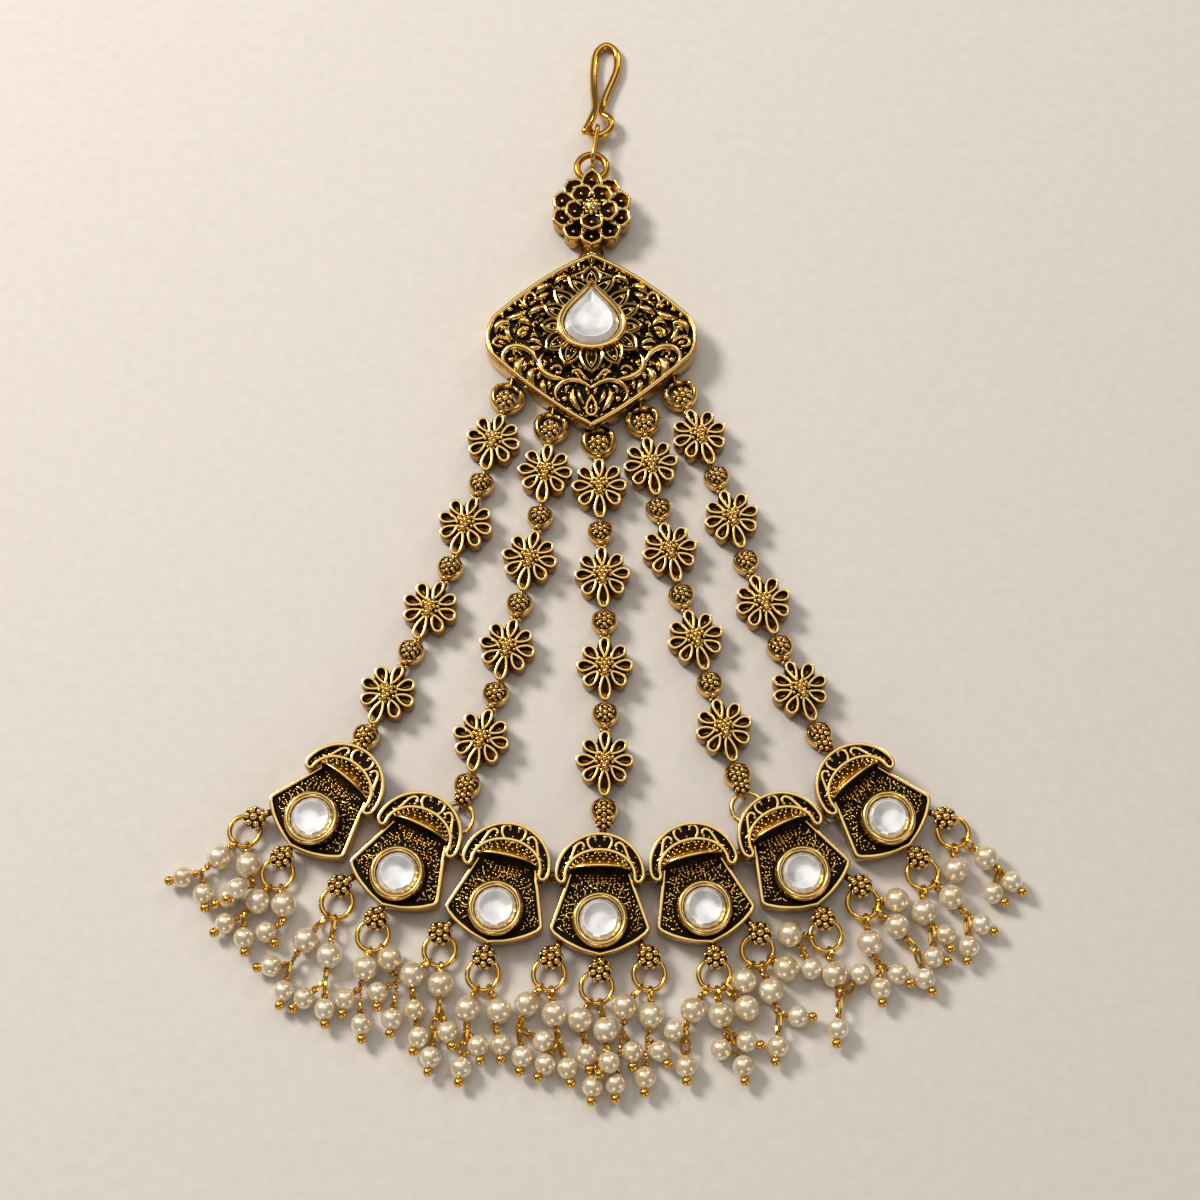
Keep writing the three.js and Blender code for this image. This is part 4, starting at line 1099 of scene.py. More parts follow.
def cut_stone(casting, corners, centre, girdle, crown, bowl):
    """Flat facets from the girdle up to the crown's edge, and inside it a smooth shallow bowl."""
    centre = np.array(centre, float)
    outline = np.array([a + (b - a) * t / 3 for a, b in zip(corners, np.roll(corners, -1, axis=0))
                        for t in range(3)])
    rows = [(0.9, girdle - 0.6), (1.0, girdle - 0.3), (1.0, girdle), (0.8, crown)]
    rows += [(share, crown - bowl * deep) for share, deep in BOWL]
    points = [(x, y, z) for share, z in rows for x, y in centre + (outline - centre) * share]
    faces = between_rings(len(rows), len(outline)) + end_caps(len(rows), len(outline))
    casting.add(points, faces, 0.5)


for index in range(PLAQUES):
    name = f"round_stone_{index + 1}"
    stone = Casting()
    stone.set_down(*plaque_centre(index), plaque_turn(index))
    cut_stone(stone, circle(STONE["radius"], STONE_FACETS), (0.1, 0.1), STONE["girdle"],
              STONE["crown"], STONE["bowl"])
    make_piece(name + "_crystal", stone, CRYSTAL, name, crisp=FACET_CRISP)

# %% [markdown]
# ## The pearl fringe
# Under every granulated eye hangs a plain jump ring, and on the ring two or three strings. A
# string is a head-pin bent into a loop on the ring and wrapped a few times, then a large pearl,
# more loops, and small pearls, most with a gold ball at their end. A few strings are one large
# pearl and nothing more. The pearls lie as they fell, so the strings are a table of swings and
# reaches.

# %% The strings, one row each
PEARL = 1.6
SEED = 1.36
PIN = 0.2
PEARL_SLACK = 0.09
SNUG_RINGS = (4, 9)
BALL = 0.6
BALL_REACH = 1.7
# One row a string: its jump ring, the swing and reach of its large pearl, and the turn and length
# of the wire under that. Then a small pearl in each bracket: its turn and reach from the wire's
# end, the turn of its gold ball or None, and how far it is lifted where it lies on another.
STRING_ROWS = [
    (1, -40, 4.3, -50, 2.7, [-74, 2.2, -74], [9, 2.7, 9]),
    (1, 10, 4.3, 14, 2.5, [-62, 3.1, -62], [-60, 1.6, -40, 2.2]),
    (2, -32, 4.0, -47, 2.2, [-62, 2.3, -50], [5, 2.8, 5]),
    (2, 15, 3.9, -1, 2.1, [-60, 2.2, 40]),
    (3, -37, 5.7, -31, 3.2, [-84, 2.2, -84], [-12, 3.2, -12]),
    (3, -5, 6.4, -7, 2.9, [-49, 3.1, -49], [2, 3.3, 2]),
    (4, -10, 4.0, -13, 2.3, [-52, 2.1, -10], [4, 4.2, 4]),
    (4, 38, 3.6, 19, 2.7, [-60, 2.6, 0], [-6, 4.4, -6]),
    (5, -47, 4.2, 1, 2.1, [10, 2.0, None], [10, 5.2, -20]),
    (5, 4, 4.0, -4, 2.5, [20, 3.2, 20], [-8, 5.9, -8]),
    (6, -23, 4.4, -2, 2.5, [-7, 4.2, -7], [40, 2.2, 10]),
    (6, 25, 4.7, -16, 2.0, [24, 2.1, 0]),
    (7, -36, 4.3, -18, 3.0, [8, 3.2, -10], [64, 3.2, None]),
    (7, 8, 4.7, 9, 3.0, [-28, 3.1, -30], [20, 3.4, 10]),
    (8, -27, 4.2, 12, 2.2, [10, 1.9, 10]),
    (8, 12, 5.1, 3, 1.9, [-20, 4.7, -5], [8, 1.9, -40, 1.2]),
    (9, -38, 4.8, -5, 2.7, [25, 2.7, 0], [-8, 6.1, 0]),
    (9, 2, 4.8, -12, 2.6, [45, 2.1, 30], [-3, 4.5, -3]),
    (10, -32, 4.9, -23, 2.4, [-84, 1.3, None], [1, 4.2, 1]),
    (10, 8, 4.8, 21, 2.2, [-25, 2.0, None], [24, 4.1, 5], [66, 2.3, 75]),
    (10, 43, 5.4, 0, 0),
    (11, -25, 4.0, 0, 0),
    (11, 16, 5.0, 18, 2.9, [87, 2.2, 87], [-4, 3.6, -10]),
    (11, 56, 3.9, 0, 0),
    (12, -91, 4.3, 40, 2.0, [24, 2.7, None]),
    (12, 10, 4.7, 10, 2.8, [-6, 3.5, -6], [139, 3.8, None]),
    (13, 6, 4.9, 19, 2.7, [4, 2.7, 4], [66, 2.5, 50]),
    (13, 53, 4.8, 36, 3.6, [15, 3.3, 27]),
    (13, 93, 3.9, 0, 0),
    (14, -3, 4.7, 29, 1.8, [55, 1.9, 20], [0, 3.7, 75]),
    (14, 48, 4.3, 37, 2.8, [0, 3.6, -8], [58, 1.9, 60]),
    (15, -2, 4.7, 0, 0),
    (15, 49, 4.8, 45, 2.1, [-18, 2.9, 50], [45, 2.0, 45]),
]
STRINGS = [{"ring": ring, "swing": swing, "reach": reach, "turn": turn, "wire": length,
            "seeds": seeds} for ring, swing, reach, turn, length, *seeds in STRING_ROWS]


# %% Pearls and their wires
def pearl(casting, point, radius, along):
    """A pearl, drilled along its string: a small dent where the wire goes in and out."""
    steps, lines = 28, 18
    axis = unit(np.array(along, float))
    side = unit(np.cross(axis, UP if abs(axis[2]) < 0.9 else np.array([1.0, 0, 0])))
    other = np.cross(axis, side)
    rings = []
    for i in range(lines):
        a = math.pi * (i + 0.5) / lines
        dent = 0.06 if i in (0, lines - 1) else 0
        for j in range(steps):
            b = 2 * math.pi * j / steps
            out = math.cos(b) * side + math.sin(b) * other
            rings.append(np.array(point)
                         + radius * (math.sin(a) * out + (math.cos(a) * (1 - dent)) * axis))
    faces = between_rings(lines, steps) + end_caps(lines, steps)
    casting.add(rings, [tuple(reversed(face)) for face in faces], 0.5)


def wraps(casting, a, b, radius=0.29, turns=2.5):
    """A pin wound round itself from a to b."""
    a, b = np.array(a, float), np.array(b, float)
    axis = unit(b - a)
    side = unit(np.cross(axis, UP))
    other = np.cross(axis, side)
    s = np.linspace(0, 1, int(turns * 9))
    path = [a + (b - a) * t + radius * (math.cos(2 * math.pi * turns * t) * side
                                        + math.sin(2 * math.pi * turns * t) * other) for t in s]
    wire(casting, path, 0.14, 6, relief=0.85)


def loop(casting, middle, along, length, width, upright, radius=PIN):
    """An oval wire loop, its long way along the string, lying flat or standing on edge."""
    axis = unit(np.array(along, float))
    flat = unit(np.cross(UP, axis))
    across = np.cross(axis, flat) if upright else flat
    across = across * 0.94 + (flat if upright else np.cross(axis, flat)) * 0.34
    path = [np.array(middle) + length / 2 * math.cos(t) * axis + width / 2 * math.sin(t) * across
            for t in np.linspace(0, 2 * math.pi, 18, endpoint=False)]
    wire(casting, path, radius, 6, True, 0.9)


def chain(casting, a, b, snug=False):
    """A few linked loops from a to b, or a pin wound close where a neighbour leaves no room."""
    a, b = np.array(a, float), np.array(b, float)
    length = np.linalg.norm(b - a)
    if length < 0.15:
        return
    if snug:
        wraps(casting, a, b, 0.14, max(1.5, length / 0.5))
        return
    axis = (b - a) / length
    count = max(1, round(length / 1.4))
    span = length / count
    for i in range(count):
        loop(casting, a + axis * span * (i + 0.5), axis, span + 0.5, 1.15, i % 2 == 0)


def pin_ball(casting, pearl_at, turn, radius):
    x, y = swung(pearl_at[0], pearl_at[1], turn, radius)
    end_x, end_y = swung(pearl_at[0], pearl_at[1], turn, BALL_REACH + radius - SEED)
    z = pearl_at[2]
    wire(casting, [(x, y, z), (end_x, end_y, z)], 0.13, 6)
    # Polished wire has no black, so the darker underside of this ball is painted shade.
    ball(casting, end_x, end_y, z, BALL, 16, 11, 0.8)


def gap_path(a, b, radius_a, radius_b):
    """The two ends of the wire between pearl a and pearl b."""
    a, b = np.array(a, float), np.array(b, float)
    axis = unit(b - a)
    return a + axis * radius_a, b - axis * radius_b


def pearl_string(pearls, wires, row, centre):
    ring_reach = JUMP["outer"] - JUMP["wire"]
    hold = (*swung(*centre, row["swing"], ring_reach), JUMP["z"])
    big = (*swung(*centre, row["swing"], row["reach"]), PEARL)
    start, end = gap_path(hold, big, 0, PEARL)
    axis = np.array(big) - np.array(hold)
    loop_end = start + (end - start) * 0.62
    length = np.linalg.norm(loop_end - start)
    snug = row["ring"] in SNUG_RINGS
    width = 1.0 if snug else 1.45
    loop(wires, (start + loop_end) / 2, axis, length + 0.85, width, True, 0.22)
    wraps(wires, loop_end, end)
    pearl(pearls, big, PEARL - PEARL_SLACK, axis)
    if not row["seeds"]:
        return
    knot = (*swung(big[0], big[1], row["turn"], row["wire"]), SEED)
    start, end = gap_path(big, knot, PEARL, 0)
    axis = unit(end - start)
    wraps(wires, start, start + axis * 0.35)
    chain(wires, start + axis * 0.3, end, snug)
    for turn, reach, ball_turn, *lift in row["seeds"]:
        seed = (*swung(knot[0], knot[1], turn, reach), SEED + (lift[0] if lift else 0))
        start, end = gap_path(knot, seed, 0, SEED)
        axis = unit(end - start)
        chain(wires, start, end - axis * 0.25, snug)
        wraps(wires, end - axis * 0.35, end)
        pearl(pearls, seed, SEED - PEARL_SLACK, np.array(seed) - np.array(knot))
        if ball_turn is not None:
            pin_ball(wires, seed, ball_turn, SEED)


for number, jump in enumerate(JUMPS, start=1):
    x, y = fringe_point(jump)
    centre = swung(x, y, jump["swing"], JUMP["outer"] - JUMP["wire"])
    pearls, wires = Casting(), Casting()
    ring = circle(JUMP["outer"] - JUMP["wire"], 44, *centre)
    wire(wires, np.column_stack((ring, np.full(44, JUMP["z"]))), JUMP["wire"], 12, True)
    for row in STRINGS:
        if row["ring"] == number:
            pearl_string(pearls, wires, row, centre)
    name = f"pearl_drop_{number}"
    make_piece(name + "_pearls", pearls, PEARL_MATERIAL, name)
    make_piece(name + "_wires", wires, POLISHED_GOLD, name)
print("fringe made, triangles in ring 10:", triangles_made["pearl_drop_10_wires"])

# %% [markdown]
# ## Hook and link
# The hook is one round wire bent double, with a small eye turned at its foot. A long link joins it
# to the rosette's ring. Both were bent after plating, which leaves a long clean highlight.

# %% Hook and link
HOOK_WIRE = 0.57
HOOK_PATH = [
    (-0.95, 31.7, 2.6), (-0.1, 33.9, 2.3), (0.45, 36.1, 1.7), (0.3, 39.4, 1.0), (0.3, 43.3, 0.65),
    (0.85, 46.05, 0.6), (2.05, 46.94, 0.6), (3.35, 45.8, 0.6), (3.5, 43.2, 0.6), (2.9, 41.2, 0.6),
    (2.2, 39.3, 0.6), (1.55, 37.2, 0.65), (1.45, 35.6, 1.0), (2.45, 34.6, 1.4), (2.55, 33.1, 1.5),
    (1.25, 31.9, 1.5), (0.1, 32.1, 1.4), (-0.45, 33.2, 1.0),
]
LINK = {"x": 0.45, "top": 33.55, "bottom": 27.1, "wire": 0.3, "high": 3.0, "lean": -7}

hook = Casting()
wire(hook, smooth_path(HOOK_PATH, 12), HOOK_WIRE - 0.01, 16, relief=0.8)
make_piece("hook_wire", hook, POLISHED_GOLD, "hair_hook")

link = Casting()
rise = LINK["high"] / 2 - LINK["wire"]
straight = (LINK["top"] - LINK["bottom"] - LINK["high"]) / 2
angle = np.linspace(0, 2 * math.pi, 44, endpoint=False)
along = rise * np.cos(angle) + np.sign(np.cos(angle)) * straight
link.set_down(LINK["x"], (LINK["top"] + LINK["bottom"]) / 2, LINK["lean"])
link_path = np.column_stack((np.zeros_like(along), along, LINK["high"] / 2 + rise * np.sin(angle)))
wire(link, link_path, LINK["wire"], 12, True)
make_piece("link_wire", link, POLISHED_GOLD, "hook_link")

# %% [markdown]
# ## Rosette
# The rosette is two tiers of cup-shaped petals, ten below and five above, round a ball of grains.
# A plain ring is soldered on top for the link, and a flat bail below passes through the
# medallion's hanger. The petals are cups rather than wire loops here: each has a wall, a rim and
# a bead.

# %% Rosette
ROSETTE = {"y": 19.4, "ring_y": 26.8, "ring": 2.0, "ring_wire": 0.48}


def arch(half, length, blunt=0.74):
    """A pointed arch from (half, 0) over its tip at (0, length) to (-half, 0)."""
    side = smooth_path([(half * 0.86, 0), (half, length * 0.36),
                        (half * blunt, length * 0.74), (0, length)], 5)
    return np.vstack((side[:-1], side[::-1] * (-1, 1)))


def cup_petal(casting, near, far, half, low, high, turn, blunt, bead):
    """A petal as an open cup: its wall, a bright rim round three sides, a dark bowl and a bead."""
    def at(points):
        return turned(np.asarray(points, float) + (0, near), turn)

    length = far - near
    loops = [(1.0, low, 0.15), (1.0, low + 0.4, 0.5), (1.0, high - 0.05, 0.75),
             (0.8, high - 0.3, 0.22), (0.4, high - 0.5, 0.06)]
    points, relief = [], []
    for size, z, shine in loops:
        path = at(arch(half * size, length * (0.4 + 0.6 * size), blunt))
        points.append(np.column_stack((path, np.full(len(path), z))))
        relief += [shine] * len(path)
    count = len(points[0])
    faces = between_rings(len(loops), count)
    faces.append(tuple(range((len(loops) - 1) * count, len(loops) * count)))
    casting.add(np.vstack(points), faces, relief)
    rim = smooth_path(at(arch(half * 0.92, length * 0.97, blunt)), 2)
    stroke(casting, rim, 0.23, 0.26, high, "wire", 10)
    x, y = at([(0, length * 0.55)])[0]
    ball(casting, x, y, high - 0.22, bead, 12, 8, 0.5)


def rosette():
    casting = Casting()
    casting.set_down(0, ROSETTE["y"], 0)
    wall = lobed(10, 4.05, 1.3, 12, first=90)
    shell(casting, wall, [
        (0.3, 0, 0.35, 0.1), (1, 0.35, 0.35, 0.1), (1, 0.08, 0.5, 0.35), (1, 0, 0.8, 0.6),
        (1, 0, 2.5, 0.72), (1, 0.1, 2.85, 0.6), (1, 0.35, 2.7, 0.0), (0.5, 0, 2.6, 0.0),
        (0.1, 0, 2.9, 0.0)])
    for i in range(10):
        top = i == 0
        cup_petal(casting, 2.6, 6.2 if top else 5.42, 1.42 if top else 1.36, 2.2, 3.15, 36 * i,
                  0.7 if top else 0.94, 0.27)
    for i in range(5):
        cup_petal(casting, 0.9, 3.6, 1.42, 2.7, 3.95, -36 + 72 * i, 0.95, 0.25)
    ball(casting, 0, 0.05, 3.35, 1.15, 22, 14, 0.1)
    ball(casting, 0, 0.05, 4.26, 0.36)
    grain_ring(casting, 6, 0.62, 4.15, 0.31, 0, 0.05)
    grain_ring(casting, 10, 1.06, 3.72, 0.29, 0, 0.05, 15)
    ring = circle(ROSETTE["ring"], 56, 0, ROSETTE["ring_y"] - ROSETTE["y"])
    wire(casting, np.column_stack((ring, np.full(56, 1.525))), ROSETTE["ring_wire"], 14, True, 0.62)
    wire(casting, [(0, 4.4, 1.8), (0, 5.7, 1.6)], 0.62, relief=0.4)
    bail = [(-1.0, -3.6, 0.75), (-1.6, -6.1, 0.72), (-1.2, -6.22, 0.72), (1.2, -6.22, 0.72),
            (1.6, -6.1, 0.72), (1.0, -3.6, 0.75)]
    wire(casting, bail, 0.22, 8, relief=0.7)
    make_piece("rosette_casting", casting, ANTIQUE_GOLD, "rosette")


rosette()

# %% [markdown]
# ## The medallion's body
# The medallion is a low box with a smooth polished wall and a thick round wire along its top edge.
# Its face swells towards the stone. The ground under the scrollwork has to be deep and black for
# the ornament to read. Here it is one smooth dome and the ornament stands on it as strokes.

# %% Medallion outline and ground


def quadratic(a, b, c, steps):
    t = np.linspace(0, 1, steps, endpoint=False)[:, None]
    return (1 - t) ** 2 * np.array(a) + 2 * t * (1 - t) * np.array(b) + t**2 * np.array(c)


MEDAL_LEFT = np.vstack((
    quadratic((0, 12.5), (-6.35, 9.9), (-12.9, 3.3), 26),
    quadratic((-12.9, 3.3), (-14.8, 0.1), (-13.0, -2.7), 16),
    quadratic((-13.0, -2.7), (-6.1, -9.4), (0, -12.8), 30),
    [(0.0, -12.8)],
))
MEDAL_OUTLINE = np.vstack((MEDAL_LEFT, MEDAL_LEFT[1:-1][::-1] * (-1, 1)))
MEDAL_MIDDLE = (0.0, 0.2)
MEDAL_EDGE = 2.9
MEDAL_SWELL = 0.75


def polar(points, centre):
    d = np.asarray(points, float) - centre
    return np.arctan2(d[:, 1], d[:, 0]), np.hypot(d[:, 0], d[:, 1])


OUTLINE_ANGLE, OUTLINE_REACH = polar(MEDAL_OUTLINE, MEDAL_MIDDLE)
ORDER = np.argsort(OUTLINE_ANGLE)


def share_out(x, y):
    """How far out a point lies: 0 in the medallion's middle, 1 on its outline."""
    angle, reach = polar(np.column_stack((np.atleast_1d(x), np.atleast_1d(y))), MEDAL_MIDDLE)
    edge = np.interp(angle, OUTLINE_ANGLE[ORDER], OUTLINE_REACH[ORDER], period=2 * math.pi)
    return reach / edge


def medal_ground(x, y):
    rise = np.clip((0.94 - share_out(x, y)) / 0.46, 0, 1)
    return MEDAL_EDGE + MEDAL_SWELL * rise * rise * (3 - 2 * rise)


# The room left under the body for a strand's first head, and the ramp that leads up to it.
HEAD_ROOM = {"high": 2.4, "clear": 0.3, "ramp": 0.5}


def over_heads(z):
    """The body's underside and wall at height z, raised over each strand's first head."""
    def height(x, y):
        gaps = np.min([np.hypot(x - s["x"], y - s["y"]) for s in STRANDS], axis=0)
        edge = FIRST_HEAD_RADIUS + HEAD_ROOM["clear"] + HEAD_ROOM["ramp"]
        share = np.clip((edge - gaps) / HEAD_ROOM["ramp"], 0, 1)
        return z + (HEAD_ROOM["high"] + 0.08 * z - z) * share
    return height


def medallion_body():
    casting = Casting()
    back = [(0.02, 0, 0.02, 0.1), (0.72, 0.45, 0.02, 0.1), (0.8, 0.45, over_heads(0.02), 0.1),
            (0.9, 0.45, over_heads(0.02), 0.1), (1, 0.45, over_heads(0.02), 0.1)]
    wall = [(1, 0.14, over_heads(0.14), 0.45), (1, 0.02, over_heads(0.6), 0.72),
            (1, 0.0, over_heads(1.6), 0.82), (1, 0.03, 2.6, 0.78), (1, 0.14, 3.1, 0.5),
            (1, 0.3, 3.2, 0.1), (1, 0.55, 3.0, 0.0)]
    ground = [(share, 0.6, medal_ground, 0.0)
              for share in (0.97, 0.9, 0.82, 0.74, 0.66, 0.58, 0.5, 0.3)]
    shell(casting, MEDAL_OUTLINE, back + wall + ground, MEDAL_MIDDLE)
    stroke(casting, inset(MEDAL_OUTLINE, 0.36), 0.32, 0.36, 3.42, sides=12, closed=True)
    casting.set_down(0, 13.0, 0)
    upright_loop(casting, -0.85, 1.5, 0.17, 1.4)
    casting.set_down(0, 0, 0)
    for side in (-1, 1):
        ball(casting, side * 0.42, 12.7, 2.7, 0.3)
    ball(casting, 0, 13.1, 2.35, 0.34)
    bite = FIRST_HEAD_RADIUS - 0.6 - 0.3
    for strand in STRANDS:
        casting.set_down(strand["x"], strand["y"], strand["lean"][0])
        upright_loop(casting, -bite - 3.4, -bite + 0.52)
    make_piece("medallion_body", casting, ANTIQUE_GOLD, "medallion")


medallion_body()

# %% [markdown]
# ## The lotus round the pear
# Fourteen petals stand round the pear-shaped setting, each one a little pointed cup with a wire
# rim and a bead. The lower ones show their flaring outsides, which catch brown light. Their tips
# were placed one by one on the left half and mirrored, and each petal stands square on the
# setting.

# %% Pear outline, lotus and setting
PEAR = {"top": 7.85, "half": 4.65, "widest": 1.05, "bottom": -2.6}


def cubic(a, b, c, d, steps):
    t = np.linspace(0, 1, steps, endpoint=False)[:, None]
    a, b, c, d = (np.array(p, float) for p in (a, b, c, d))
    return (1 - t) ** 3 * a + 3 * t * (1 - t) ** 2 * b + 3 * t**2 * (1 - t) * c + t**3 * d


PEAR_LEFT = np.vstack((
    cubic((0, PEAR["top"]), (-1.2, 5.6), (-PEAR["half"], 3.9), (-PEAR["half"], PEAR["widest"]), 24),
    cubic((-PEAR["half"], PEAR["widest"]), (-PEAR["half"], -1.0), (-2.6, PEAR["bottom"]),
          (0, PEAR["bottom"]), 20),
    [(0.0, PEAR["bottom"])],
))
PEAR_OUTLINE = np.vstack((PEAR_LEFT, PEAR_LEFT[1:-1][::-1] * (-1, 1)))
LOTUS_RIM = 4.75
# One row a petal of the left half: where its tip is and half its width.
LOTUS = [
    {"x": 0.0, "y": 9.8, "half": 1.3},
    {"x": -3.1, "y": 8.3, "half": 1.1},
    {"x": -4.95, "y": 6.35, "half": 1.1},
    {"x": -6.2, "y": 4.0, "half": 1.05},
    {"x": -6.55, "y": 1.1, "half": 1.1},
    {"x": -5.95, "y": -2.25, "half": 1.35},
    {"x": -3.45, "y": -4.55, "half": 1.4},
    {"x": 0.0, "y": -5.7, "half": 1.5},
]


def lotus_petal(casting, row, side):
    tip = np.array((side * row["x"], row["y"]))
    gaps = np.hypot(*(PEAR_OUTLINE - tip).T)
    root = PEAR_OUTLINE[gaps.argmin()]
    length = gaps.min() + 0.35
    turn = math.degrees(math.atan2(*(tip - root)[::-1])) - 90
    start = tip - (tip - root) / gaps.min() * length
    casting.set_down(*start, turn)
    foot = float(medal_ground(tip[0], tip[1])[0]) - 0.1
    blunt = 0.6 if row["y"] > 5 else 0.66
    rim = arch(row["half"], length, blunt)
    loops = [(arch(row["half"] * 0.5, length + 0.75, 0.5), foot, 0.2),
             (arch(row["half"] * 0.72, length + 0.3, 0.6), foot * 0.55 + LOTUS_RIM * 0.45, 0.45),
             (rim, LOTUS_RIM - 0.12, 0.72),
             (arch(row["half"] * 0.74, length * 0.84, blunt), LOTUS_RIM - 0.35, 0.0),
             (arch(row["half"] * 0.3, length * 0.5, blunt), LOTUS_RIM - 0.5, 0.0)]
    points = [np.column_stack((path, np.full(len(path), z))) for path, z, _ in loops]
    count = len(rim)
    relief = np.repeat([shine for _, _, shine in loops], count)
    faces = between_rings(len(loops), count) + end_caps(len(loops), count)[::-1]
    casting.add(np.vstack(points), faces, relief)
    stroke(casting, arch(row["half"] * 0.93, length * 0.95, blunt), 0.18, 0.24, LOTUS_RIM, "wire")
    ball(casting, 0, length * 0.55, LOTUS_RIM - 0.25, 0.27, 12, 8, 0.45)
    vein = arch(row["half"] * 0.44, length * 0.74, blunt)
    stroke(casting, vein, 0.07, 0.16, LOTUS_RIM - 0.3, "wire", 6)


def medallion_lotus():
    casting = Casting()
    for row in LOTUS:
        for side in (-1, 1):
            if side < 0 or row["x"] != 0:
                lotus_petal(casting, row, -side)
    make_piece("medallion_lotus", casting, ANTIQUE_GOLD, "medallion")


def pear_ring(inward):
    """The pear's outline, moved in: 0 is the setting's outside, 1 the stone's edge."""
    return (PEAR_OUTLINE - (0, 2.9)) * (1 - 0.247 * inward, 1 - 0.192 * inward) + (0, 2.9)


def medallion_setting():
    casting = Casting()
    rows = [(-0.22, 3.3, 0.1), (-0.16, 3.9, 0.4), (-0.04, 4.3, 0.62), (-0.02, 4.9, 0.85),
            (0.06, 5.4, 0.95), (0.2, 5.62, 1.0), (0.44, 5.66, 1.0), (0.66, 5.5, 0.9),
            (0.86, 5.15, 0.7), (0.93, 4.7, 0.2), (0.93, 4.0, 0.0)]
    points = [np.column_stack((pear_ring(inward), np.full(len(PEAR_OUTLINE), z)))
              for inward, z, _ in rows]
    faces = between_rings(len(rows), len(PEAR_OUTLINE))
    casting.add(np.vstack(points), faces, np.repeat([row[2] for row in rows], len(PEAR_OUTLINE)))
    foot = pear_ring(-0.2)
    spans = np.hypot(*np.diff(np.vstack((foot, foot[:1])), axis=0).T)
    steps = np.concatenate(([0], np.cumsum(spans)))
    for reach in np.arange(0, steps[-1], 0.46):
        x = np.interp(reach, steps, np.append(foot[:, 0], foot[0, 0]))
        y = np.interp(reach, steps, np.append(foot[:, 1], foot[0, 1]))
        ball(casting, x, y, 4.15, 0.2, 8, 5, 0.35)
    make_piece("medallion_setting", casting, ANTIQUE_GOLD, "medallion")


medallion_lotus()
medallion_setting()

# %% [markdown]
# ## Scrollwork
# Between the rim and the lotus the face is filled with scrolls, leaves and tendrils, the same on
# both sides. They were carved in wax, so a stroke is thick where the tool leaned and thin where
# it left, with a bead where a tendril ends. The table gives the left half, which is then
# mirrored.

